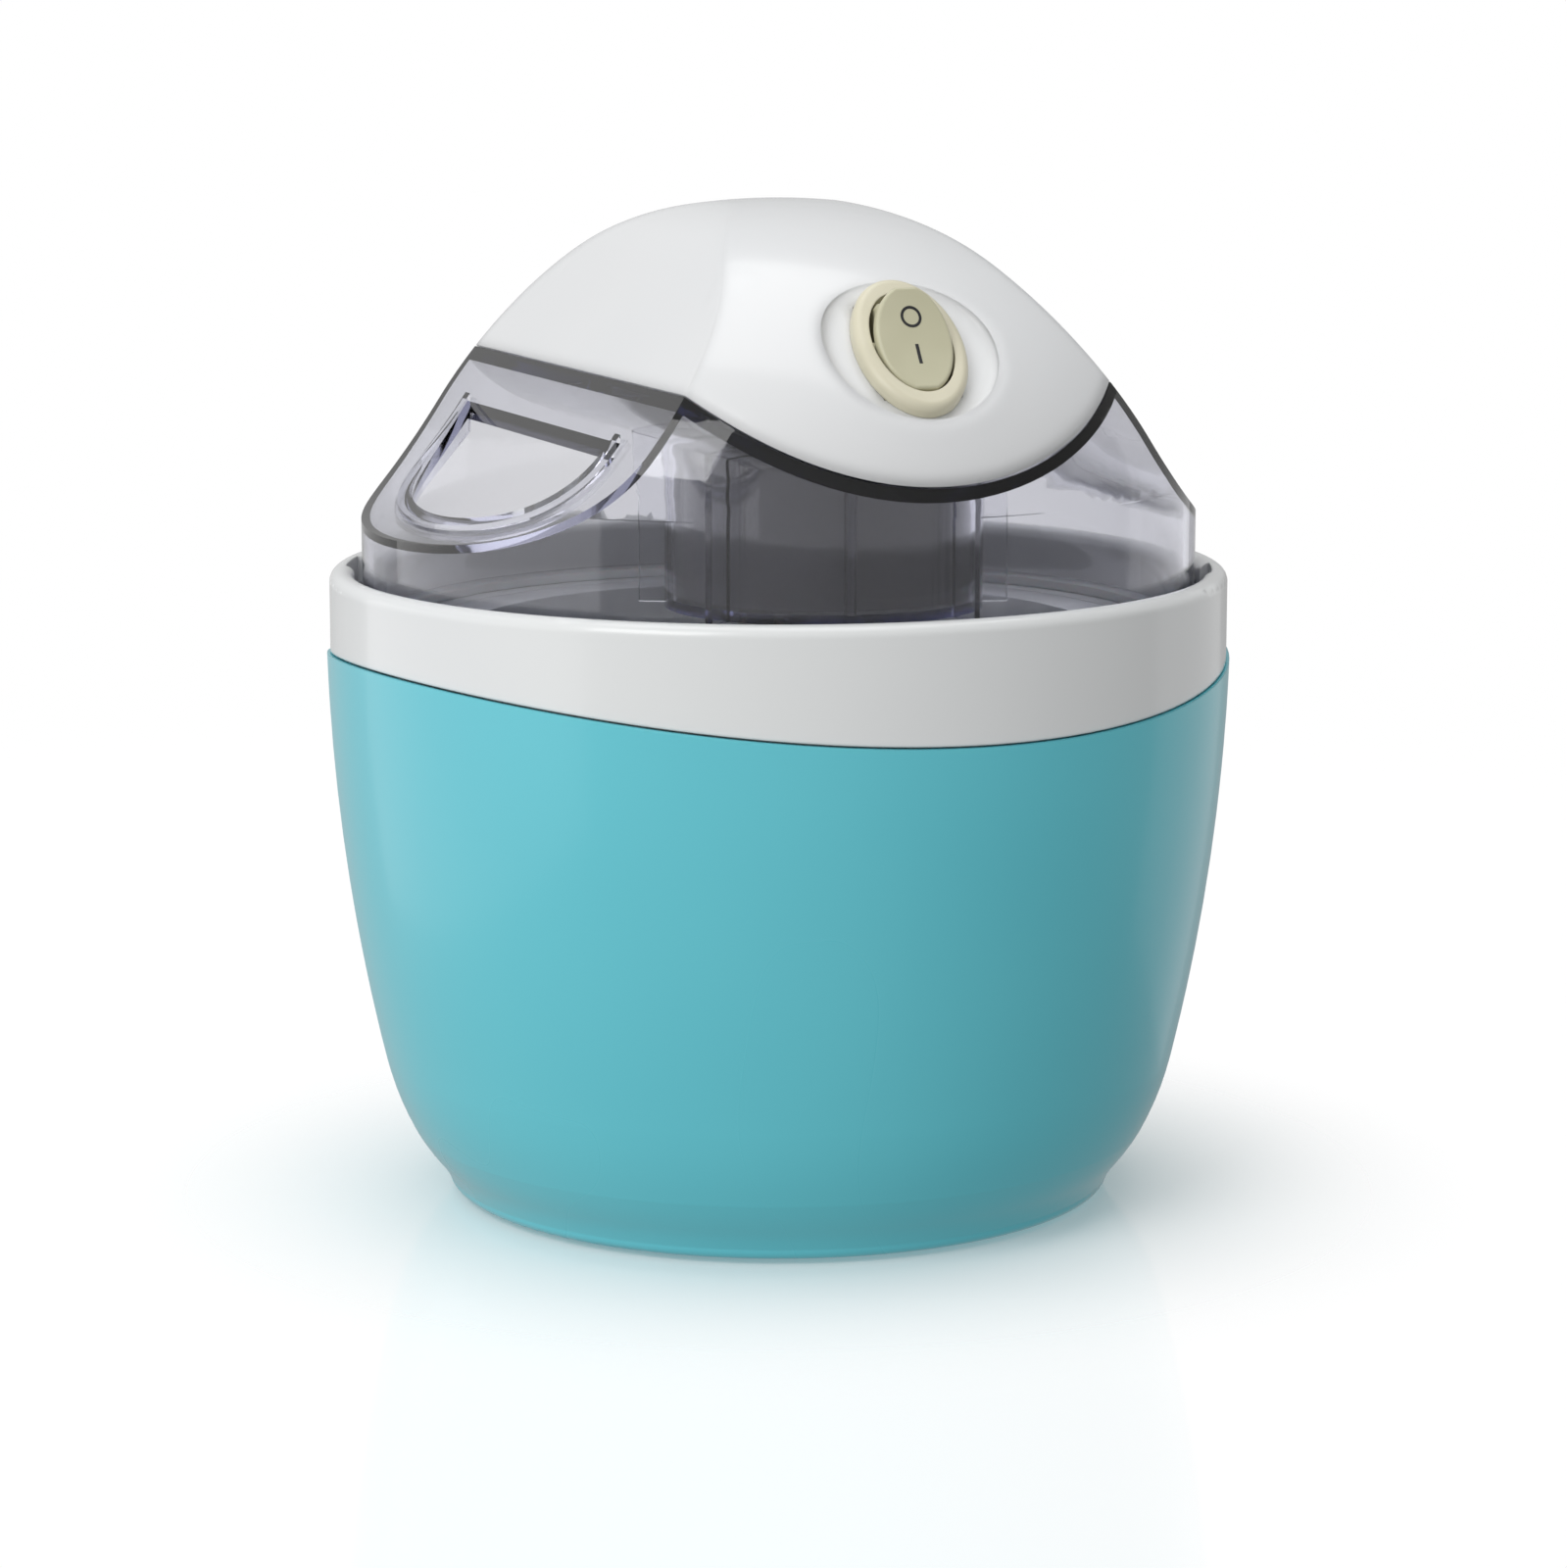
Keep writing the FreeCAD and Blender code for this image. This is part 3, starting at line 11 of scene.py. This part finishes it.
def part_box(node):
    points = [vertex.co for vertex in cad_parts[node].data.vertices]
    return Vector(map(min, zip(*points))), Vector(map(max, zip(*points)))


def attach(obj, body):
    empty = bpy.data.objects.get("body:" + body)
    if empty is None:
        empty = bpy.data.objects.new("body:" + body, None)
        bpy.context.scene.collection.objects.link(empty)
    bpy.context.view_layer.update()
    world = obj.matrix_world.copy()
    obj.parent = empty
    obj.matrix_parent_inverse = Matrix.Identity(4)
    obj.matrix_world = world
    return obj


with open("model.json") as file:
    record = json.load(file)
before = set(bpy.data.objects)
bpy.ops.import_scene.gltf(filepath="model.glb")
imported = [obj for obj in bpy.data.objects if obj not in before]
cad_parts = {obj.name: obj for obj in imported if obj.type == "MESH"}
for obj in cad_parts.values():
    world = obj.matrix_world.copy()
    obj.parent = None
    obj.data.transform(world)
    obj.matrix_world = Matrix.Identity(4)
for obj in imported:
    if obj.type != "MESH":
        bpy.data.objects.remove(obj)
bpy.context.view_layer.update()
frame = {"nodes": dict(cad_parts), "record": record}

MM = 0.001

# Smoke tint of the lid's plastic: absorption colour and absorption density per metre.
LID_TINT = (0.47, 0.48, 0.64, 1.0)
LID_DENSITY = 120.0

# Share of the armature's height taken by each winding, and of the rectifier board's by the bare board.
WINDING_SHARE = 0.24
BOARD_SHARE = 0.2

# Marks on the rocker, in metres; the rocker's face leans back by SWITCH_TILT degrees.
SWITCH_TILT = 46.0
MARK_REACH = 20 * MM
MARK_RISE = 0.05 * MM
MARK_SINK = 0.05 * MM
MARK_OFFSET = 3.4 * MM
RING_OUTER = 1.9 * MM
RING_INNER = 1.42 * MM
RING_STEPS = 56
BAR_HALF_LENGTH = 1.85 * MM
BAR_HALF_WIDTH = 0.3 * MM
BAR_STEPS = 12

# Floor: radii in metres over which the shadow and then the mirror image fade away.
FLOOR_RADIUS = 1.4
FLOOR_TONE = (0.96, 0.96, 0.96, 1.0)
SHADOW_FADE = (0.062, 0.14)
MIRROR_FADE = (0.30, 0.60)
FLOOR_MIRROR = 0.2
FLOOR_GLOW = 0.65

# Strength of the world's light from each side, from below and as a backdrop seen through the lid.
WORLD_LIGHT_LEFT = 0.84
WORLD_LIGHT_RIGHT = 0.36
WORLD_LIGHT_BELOW = 0.66
BACKDROP_THROUGH_LID = 0.8

# Lamps: name, place, width, height in metres, power in watts. The strips show in gloss only.
MIDDLE = (0.0, 0.0, 0.09)
LAMPS = (("key", (-0.95, -0.65, 0.85), 0.7, 0.7, 5.8),
         ("overhead", (0.1, 0.1, 1.2), 1.0, 1.0, 4.7))
GLOSS_STRIPS = (("left_strip", (-0.95, 0.3, 0.12), 1.6, 0.9, 3.3),
                ("right_strip", (0.95, 0.3, 0.12), 0.8, 0.9, 0.9))

# Camera fitted to the photo's perspective: place in metres, turn in degrees.
CAMERA_PLACE = (-0.3115, -0.7909, 0.2253)
CAMERA_TURN = (79.99, 0.0, -21.5)
CAMERA_LENS = 106.56
CAMERA_SHIFT = 0.0031


# ---------------------------------------------------------------- shader helpers

def linear(red, green, blue):
    """A colour given as screen values from 0 to 255, as linear RGBA."""
    def channel(value):
        value /= 255.0
        return value / 12.92 if value <= 0.04045 else ((value + 0.055) / 1.055) ** 2.4
    return channel(red), channel(green), channel(blue), 1.0


def blank(name):
    """A new node material with a Principled shader wired to its output."""
    material = bpy.data.materials.new(name)
    material.use_nodes = True
    nodes = material.node_tree.nodes
    nodes.clear()
    output = nodes.new("ShaderNodeOutputMaterial")
    shader = nodes.new("ShaderNodeBsdfPrincipled")
    material.node_tree.links.new(shader.outputs["BSDF"], output.inputs["Surface"])
    return material, shader, output


def link(material, source, target):
    """Join two sockets of the material's node tree."""
    material.node_tree.links.new(source, target)


def place_coordinates(material, stretch=(1.0, 1.0, 1.0)):
    """The place on the object in metres, stretched along each axis."""
    nodes = material.node_tree.nodes
    coordinates = nodes.new("ShaderNodeTexCoord")
    mapping = nodes.new("ShaderNodeMapping")
    mapping.inputs["Scale"].default_value = stretch
    link(material, coordinates.outputs["Object"], mapping.inputs["Vector"])
    return mapping.outputs["Vector"]


def noise(material, scale, detail=3.0, stretch=(1.0, 1.0, 1.0)):
    """Soft cloud pattern from 0 to 1 with `scale` cells to the metre."""
    texture = material.node_tree.nodes.new("ShaderNodeTexNoise")
    texture.inputs["Scale"].default_value = scale
    texture.inputs["Detail"].default_value = detail
    link(material, place_coordinates(material, stretch), texture.inputs["Vector"])
    return texture.outputs["Fac"]


def remap(material, value, low, high, start=0.3, end=0.7):
    """The value spread smoothly from `start`..`end` to `low`..`high`."""
    spread = material.node_tree.nodes.new("ShaderNodeMapRange")
    spread.interpolation_type = "SMOOTHSTEP"
    spread.inputs["From Min"].default_value = start
    spread.inputs["From Max"].default_value = end
    spread.inputs["To Min"].default_value = low
    spread.inputs["To Max"].default_value = high
    link(material, value, spread.inputs["Value"])
    return spread.outputs["Result"]


def blend_colours(material, factor, first, second):
    """A mix of two colours, each a fixed colour or a socket."""
    mix = material.node_tree.nodes.new("ShaderNodeMix")
    mix.data_type = "RGBA"
    link(material, factor, mix.inputs["Factor"])
    for socket, colour in ((mix.inputs[6], first), (mix.inputs[7], second)):
        if isinstance(colour, tuple):
            socket.default_value = colour
        else:
            link(material, colour, socket)
    return mix.outputs[2]


def add_bump(material, shader, height, distance, soft_edges=0.0):
    """Relief of that height in metres, over edges softened to that radius in metres."""
    nodes = material.node_tree.nodes
    bump = nodes.new("ShaderNodeBump")
    bump.inputs["Strength"].default_value = 1.0
    bump.inputs["Distance"].default_value = distance
    link(material, height, bump.inputs["Height"])
    if soft_edges:
        edges = nodes.new("ShaderNodeBevel")
        edges.samples = 4
        edges.inputs["Radius"].default_value = soft_edges
        link(material, edges.outputs["Normal"], bump.inputs["Normal"])
    link(material, bump.outputs["Normal"], shader.inputs["Normal"])


def height_mask(material, low, high):
    """1 between two heights in metres and 0 elsewhere."""
    nodes = material.node_tree.nodes
    split = nodes.new("ShaderNodeSeparateXYZ")
    link(material, place_coordinates(material), split.inputs["Vector"])
    above = nodes.new("ShaderNodeMath")
    above.operation = "GREATER_THAN"
    above.inputs[1].default_value = low
    below = nodes.new("ShaderNodeMath")
    below.operation = "LESS_THAN"
    below.inputs[1].default_value = high
    both = nodes.new("ShaderNodeMath")
    both.operation = "MULTIPLY"
    link(material, split.outputs["Z"], above.inputs[0])
    link(material, split.outputs["Z"], below.inputs[0])
    link(material, above.outputs[0], both.inputs[0])
    link(material, below.outputs[0], both.inputs[1])
    return both.outputs[0]


# ---------------------------------------------------------------- materials

def moulded(name, colour, shade, roughness, tone_scale=14.0, grain=0.004, grain_scale=1500.0,
            soft_edges=0.6, **sockets):
    """Injection-moulded plastic: slow tone changes, flow marks in the gloss and a fine grain."""
    material, shader, _ = blank(name)
    tone = noise(material, tone_scale, 2.0)
    link(material, blend_colours(material, remap(material, tone, 0.0, 1.0), colour, shade),
         shader.inputs["Base Color"])
    flow = noise(material, 24.0, 1.0, (1.0, 1.0, 0.5))
    gloss = remap(material, flow, roughness[0], roughness[1], 0.1, 0.9)
    link(material, gloss, shader.inputs["Roughness"])
    add_bump(material, shader, noise(material, grain_scale, 2.0), grain * MM, soft_edges * MM)
    for socket, value in sockets.items():
        shader.inputs[socket.replace("_", " ")].default_value = value
    return material


def metal(name, colour, shade, roughness, stretch, scale=400.0, relief=0.01):
    """Metal with fine tool marks drawn out along the axes where `stretch` is small."""
    material, shader, _ = blank(name)
    shader.inputs["Metallic"].default_value = 1.0
    marks = noise(material, scale, 4.0, stretch)
    patches = noise(material, 90.0, 3.0)
    link(material, blend_colours(material, remap(material, patches, 0.0, 1.0), colour, shade),
         shader.inputs["Base Color"])
    link(material, remap(material, marks, roughness[0], roughness[1]), shader.inputs["Roughness"])
    add_bump(material, shader, marks, relief * MM, 0.2 * MM)
    return material


def smoky_clear():
    """Smoke-tinted clear plastic: light through the wall, nearly black along thick edges."""
    material, shader, output = blank("smoky_clear")
    shader.inputs["Base Color"].default_value = (1.0, 1.0, 1.0, 1.0)
    shader.inputs["Transmission Weight"].default_value = 1.0
    shader.inputs["IOR"].default_value = 1.49
    waves = noise(material, 45.0, 2.0, (1.0, 1.0, 0.4))
    link(material, remap(material, waves, 0.01, 0.05), shader.inputs["Roughness"])
    add_bump(material, shader, waves, 0.05 * MM)
    tint = material.node_tree.nodes.new("ShaderNodeVolumeAbsorption")
    tint.inputs["Color"].default_value = LID_TINT
    tint.inputs["Density"].default_value = LID_DENSITY
    link(material, tint.outputs["Volume"], output.inputs["Volume"])
    return material


def armature_core(low, high):
    """Wound armature: stacked steel sheets in the middle, copper windings at both ends."""
    material, shader, _ = blank("armature")
    height = high - low
    winding = WINDING_SHARE * height
    stack = height_mask(material, low + winding, high - winding)
    sheets = noise(material, 300.0, 1.0, (0.05, 0.05, 8.0))
    steel = blend_colours(material, remap(material, sheets, 0.0, 1.0),
                          linear(150, 150, 154), linear(82, 82, 88))
    wires = noise(material, 1600.0, 2.0, (1.0, 1.0, 0.3))
    copper = blend_colours(material, remap(material, wires, 0.0, 1.0),
                           linear(190, 106, 62), linear(112, 52, 30))
    link(material, blend_colours(material, stack, copper, steel), shader.inputs["Base Color"])
    link(material, remap(material, wires, 0.28, 0.45), shader.inputs["Roughness"])
    add_bump(material, shader, wires, 0.05 * MM)
    shader.inputs["Metallic"].default_value = 0.9
    return material


def circuit_board(board_low, board_high):
    """Green board with tinned tracks; the parts standing on it are black."""
    material, shader, _ = blank("board")
    board = height_mask(material, board_low, board_high)
    tracks = material.node_tree.nodes.new("ShaderNodeTexBrick")
    tracks.inputs["Scale"].default_value = 160.0
    tracks.inputs["Color1"].default_value = linear(24, 92, 50)
    tracks.inputs["Color2"].default_value = linear(34, 112, 62)
    tracks.inputs["Mortar"].default_value = linear(170, 176, 150)
    tracks.inputs["Mortar Size"].default_value = 0.05
    link(material, place_coordinates(material), tracks.inputs["Vector"])
    link(material, blend_colours(material, board, linear(30, 30, 33), tracks.outputs["Color"]),
         shader.inputs["Base Color"])
    speckle = noise(material, 1200.0, 2.0)
    link(material, remap(material, speckle, 0.3, 0.5), shader.inputs["Roughness"])
    add_bump(material, shader, speckle, 0.02 * MM, 0.1 * MM)
    return material


def build_materials():
    """One material for each of the record's material slots."""
    turned = (0.05, 0.05, 6.0)
    rolled = (0.1, 4.0, 1.0)
    armature_low, armature_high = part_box("motor_armature")
    board_low, board_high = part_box("rectifier_board")
    white = dict(roughness=(0.17, 0.23), tone_scale=10.0, Coat_Weight=0.25, Coat_Roughness=0.08)
    board_top = board_low.z + BOARD_SHARE * (board_high.z - board_low.z)
    return {
        "teal_plastic": moulded("teal_plastic", linear(98, 200, 213), linear(92, 195, 209),
                                (0.26, 0.31), tone_scale=11.0, Coat_Weight=0.3,
                                Coat_Roughness=0.12, Specular_IOR_Level=0.4),
        "white_plastic": moulded("white_plastic", linear(226, 228, 228), linear(221, 223, 224),
                                 **white),
        "cover_plastic": moulded("cover_plastic", linear(223, 224, 225), linear(218, 220, 222),
                                 soft_edges=4.0, **white),
        "smoky_clear": smoky_clear(),
        "grey_plastic": moulded("grey_plastic", linear(104, 104, 110), linear(92, 92, 99),
                                (0.38, 0.5), grain=0.02),
        "cream_plastic": moulded("cream_plastic", linear(214, 209, 186), linear(205, 200, 176),
                                 (0.28, 0.36), tone_scale=60.0, soft_edges=0.4),
        "rocker_plastic": moulded("rocker_plastic", linear(196, 193, 166), linear(188, 185, 157),
                                  (0.26, 0.34), tone_scale=60.0, soft_edges=0.3),
        "black_plastic": moulded("black_plastic", linear(36, 36, 39), linear(26, 26, 29),
                                 (0.35, 0.5), tone_scale=80.0, soft_edges=0.1),
        "paddle_plastic": moulded("paddle_plastic", linear(232, 232, 228), linear(224, 224, 218),
                                  (0.3, 0.42)),
        "bowl_plastic": moulded("bowl_plastic", linear(214, 216, 219), linear(206, 209, 213),
                                (0.28, 0.4)),
        "bowl_metal": metal("bowl_metal", linear(236, 238, 241), linear(220, 222, 227),
                            (0.3, 0.45), turned),
        "gel": moulded("gel", linear(96, 150, 206), linear(120, 174, 222), (0.08, 0.2),
                       tone_scale=40.0, Subsurface_Weight=0.3, Subsurface_Scale=0.01),
        "seal_rubber": moulded("seal_rubber", linear(44, 44, 47), linear(34, 34, 37),
                               (0.6, 0.8), grain=0.02),
        "gasket_silicone": moulded("gasket_silicone", linear(206, 209, 212), linear(196, 199, 203),
                                   (0.42, 0.6), grain=0.01, Subsurface_Weight=0.2,
                                   Subsurface_Scale=0.004),
        "rubber": moulded("rubber", linear(40, 40, 43), linear(30, 30, 33), (0.62, 0.85),
                          grain=0.03),
        "screw_steel": metal("screw_steel", linear(196, 197, 200), linear(168, 170, 175),
                             (0.22, 0.4), turned),
        "plate_steel": metal("plate_steel", linear(198, 200, 204), linear(172, 175, 181),
                             (0.3, 0.5), rolled),
        "shaft_steel": metal("shaft_steel", linear(206, 207, 210), linear(182, 184, 188),
                             (0.12, 0.28), turned),
        "bush_brass": metal("bush_brass", linear(214, 178, 104), linear(190, 150, 78),
                            (0.2, 0.36), turned),
        "magnet": moulded("magnet", linear(66, 66, 70), linear(48, 48, 53), (0.45, 0.65),
                          tone_scale=400.0, grain=0.03),
        "armature": armature_core(armature_low.z, armature_high.z),
        "board": circuit_board(board_low.z, board_top),
        "gear_nylon": moulded("gear_nylon", linear(232, 230, 214), linear(220, 217, 198),
                              (0.34, 0.48), tone_scale=90.0, soft_edges=0.1,
                              Subsurface_Weight=0.2, Subsurface_Scale=0.003),
    }


def dress_parts(materials):
    """Gives each CAD part the material of its slot in the record."""
    for subpart in frame["record"]["subparts"]:
        node = frame["nodes"][subpart["node"]]
        for slot in node.material_slots:
            slot.material = materials[subpart["material_slot"]]


# ---------------------------------------------------------------- marks on the switch

def rocker_mark(name, rails, material, closed):
    """A thin raised strip between two rails of points (across, uphill) in metres from the pivot."""
    rocker = frame["nodes"]["switch_rocker"]
    joint = next(j for j in frame["record"]["behaviour"]["joints"] if j["name"] == "switch_rock")
    pivot = Vector(joint["pos_m"])
    tilt = math.radians(SWITCH_TILT)
    outward = Vector((0.0, -math.sin(tilt), math.cos(tilt)))
    uphill = Vector((0.0, math.cos(tilt), math.sin(tilt)))
    points = [rocker.matrix_world @ vertex.co for vertex in rocker.data.vertices]
    surface = BVHTree.FromPolygons(points, [tuple(face.vertices) for face in rocker.data.polygons])
    mesh = bmesh.new()
    rows = []
    for stations in zip(*rails):
        tops, feet = [], []
        for across, along in stations:
            start = pivot + Vector((across, 0.0, 0.0)) + uphill * along + outward * MARK_REACH
            place, _, _, _ = surface.ray_cast(start, -outward)
            tops.append(mesh.verts.new(place + outward * MARK_RISE))
            feet.append(mesh.verts.new(place - outward * MARK_SINK))
        rows.append((tops[0], tops[1], feet[1], feet[0]))
    pairs = list(zip(rows, rows[1:]))
    if closed:
        pairs.append((rows[-1], rows[0]))
    else:
        mesh.faces.new(rows[0])
        mesh.faces.new(rows[-1])
    for first, second in pairs:
        for i in range(4):
            j = (i + 1) % 4
            mesh.faces.new((first[i], first[j], second[j], second[i]))
    bmesh.ops.recalc_face_normals(mesh, faces=mesh.faces)
    data = bpy.data.meshes.new(name)
    mesh.to_mesh(data)
    mesh.free()
    mark = bpy.data.objects.new(name, data)
    bpy.context.scene.collection.objects.link(mark)
    data.materials.append(material)
    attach(mark, "rocker")


def ring_rail(radius, centre):
    """Points of a circle, `centre` uphill of the pivot."""
    turns = [2 * math.pi * i / RING_STEPS for i in range(RING_STEPS)]
    return [(radius * math.cos(t), centre + radius * math.sin(t)) for t in turns]


def make_marks(ink):
    """The generic off ring on the upper half and on bar on the lower half."""
    rocker_mark("switch_mark_off", [ring_rail(RING_INNER, MARK_OFFSET),
                                    ring_rail(RING_OUTER, MARK_OFFSET)], ink, True)
    foot = -MARK_OFFSET - BAR_HALF_LENGTH
    heights = [foot + 2 * BAR_HALF_LENGTH * i / BAR_STEPS for i in range(BAR_STEPS + 1)]
    rocker_mark("switch_mark_on", [[(-BAR_HALF_WIDTH, h) for h in heights],
                                   [(BAR_HALF_WIDTH, h) for h in heights]], ink, False)


# ---------------------------------------------------------------- floor, light and camera

def make_floor():
    """A pale table top: soft shadow round the foot, faint mirror image, fading into the backdrop."""
    mesh = bmesh.new()
    bmesh.ops.create_circle(mesh, cap_ends=True, segments=96, radius=FLOOR_RADIUS)
    data = bpy.data.meshes.new("floor")
    mesh.to_mesh(data)
    mesh.free()
    floor = bpy.data.objects.new("floor", data)
    bpy.context.scene.collection.objects.link(floor)
    material = bpy.data.materials.new("floor")
    material.use_nodes = True
    nodes = material.node_tree.nodes
    nodes.clear()
    output = nodes.new("ShaderNodeOutputMaterial")
    matt = nodes.new("ShaderNodeBsdfDiffuse")
    matt.inputs["Color"].default_value = FLOOR_TONE
    mirror = nodes.new("ShaderNodeBsdfGlossy")
    mirror.inputs["Roughness"].default_value = 0.08
    glow = nodes.new("ShaderNodeEmission")
    glow.inputs["Strength"].default_value = FLOOR_GLOW
    bright_mirror = nodes.new("ShaderNodeAddShader")
    clear = nodes.new("ShaderNodeBsdfTransparent")
    ground = nodes.new("ShaderNodeMixShader")
    surface = nodes.new("ShaderNodeMixShader")
    coordinates = nodes.new("ShaderNodeTexCoord")
    reach = nodes.new("ShaderNodeVectorMath")
    reach.operation = "LENGTH"
    link(material, coordinates.outputs["Object"], reach.inputs[0])
    shade = remap(material, reach.outputs["Value"], 0.0, 1.0, *SHADOW_FADE)
    gloss = remap(material, reach.outputs["Value"], FLOOR_MIRROR, 0.0, *MIRROR_FADE)
    link(material, shade, ground.inputs["Fac"])
    link(material, matt.outputs[0], ground.inputs[1])
    link(material, clear.outputs[0], ground.inputs[2])
    link(material, mirror.outputs[0], bright_mirror.inputs[0])
    link(material, glow.outputs[0], bright_mirror.inputs[1])
    link(material, gloss, surface.inputs["Fac"])
    link(material, ground.outputs[0], surface.inputs[1])
    link(material, bright_mirror.outputs[0], surface.inputs[2])
    link(material, surface.outputs[0], output.inputs["Surface"])
    data.materials.append(material)
    floor.visible_diffuse = False
    floor.visible_glossy = False


def make_world():
    """White backdrop, a little dimmer through the lid, and graded white light on the rest."""
    world = bpy.data.worlds.new("studio")
    bpy.context.scene.world = world
    world.use_nodes = True
    nodes = world.node_tree.nodes
    nodes.clear()
    output = nodes.new("ShaderNodeOutputWorld")
    seen = nodes.new("ShaderNodeBackground")
    seen.inputs["Color"].default_value = (1.0, 1.0, 1.0, 1.0)
    lighting = nodes.new("ShaderNodeBackground")
    direction = nodes.new("ShaderNodeTexCoord")
    sides = nodes.new("ShaderNodeSeparateXYZ")
    strength = nodes.new("ShaderNodeMapRange")
    strength.inputs["From Min"].default_value = -1.0
    strength.inputs["To Min"].default_value = WORLD_LIGHT_LEFT
    strength.inputs["To Max"].default_value = WORLD_LIGHT_RIGHT
    rise = nodes.new("ShaderNodeMapRange")
    rise.inputs["From Min"].default_value = -0.95
    rise.inputs["From Max"].default_value = -0.1
    rise.inputs["To Min"].default_value = WORLD_LIGHT_BELOW
    graded = nodes.new("ShaderNodeMath")
    graded.operation = "MULTIPLY"
    lighting.inputs["Color"].default_value = (1.0, 1.0, 1.0, 1.0)
    path = nodes.new("ShaderNodeLightPath")
    through = nodes.new("ShaderNodeBackground")
    through.inputs["Color"].default_value = (1.0, 1.0, 1.0, 1.0)
    through.inputs["Strength"].default_value = BACKDROP_THROUGH_LID
    lit_or_through = nodes.new("ShaderNodeMixShader")
    choice = nodes.new("ShaderNodeMixShader")
    links = world.node_tree.links
    links.new(direction.outputs["Generated"], sides.inputs["Vector"])
    links.new(sides.outputs["X"], strength.inputs["Value"])
    links.new(sides.outputs["Z"], rise.inputs["Value"])
    links.new(strength.outputs["Result"], graded.inputs[0])
    links.new(rise.outputs["Result"], graded.inputs[1])
    links.new(graded.outputs[0], lighting.inputs["Strength"])
    links.new(path.outputs["Is Transmission Ray"], lit_or_through.inputs["Fac"])
    links.new(lighting.outputs[0], lit_or_through.inputs[1])
    links.new(through.outputs[0], lit_or_through.inputs[2])
    links.new(path.outputs["Is Camera Ray"], choice.inputs["Fac"])
    links.new(lit_or_through.outputs[0], choice.inputs[1])
    links.new(seen.outputs[0], choice.inputs[2])
    links.new(choice.outputs[0], output.inputs["Surface"])


def area_light(name, place, width, height, power, gloss_only=False):
    """A rectangular lamp aimed at the middle of the object."""
    data = bpy.data.lights.new(name, "AREA")
    data.shape = "RECTANGLE"
    data.size = width
    data.size_y = height
    data.energy = power
    lamp = bpy.data.objects.new(name, data)
    lamp.location = place
    lamp.rotation_euler = (Vector(MIDDLE) - Vector(place)).to_track_quat("-Z", "Y").to_euler()
    lamp.visible_diffuse = not gloss_only
    bpy.context.scene.collection.objects.link(lamp)


def make_camera():
    """The photo's camera."""
    data = bpy.data.cameras.new("camera")
    data.lens = CAMERA_LENS
    data.sensor_width = 36.0
    data.shift_x = CAMERA_SHIFT
    camera = bpy.data.objects.new("camera", data)
    camera.location = CAMERA_PLACE
    camera.rotation_euler = [math.radians(turn) for turn in CAMERA_TURN]
    bpy.context.scene.collection.objects.link(camera)
    bpy.context.scene.camera = camera


parts = build_materials()
dress_parts(parts)
make_marks(parts["black_plastic"])
make_floor()
make_world()
for lamp_facts in LAMPS:
    area_light(*lamp_facts)
for lamp_facts in GLOSS_STRIPS:
    area_light(*lamp_facts, gloss_only=True)
make_camera()
bpy.context.scene.view_settings.view_transform = "Standard"
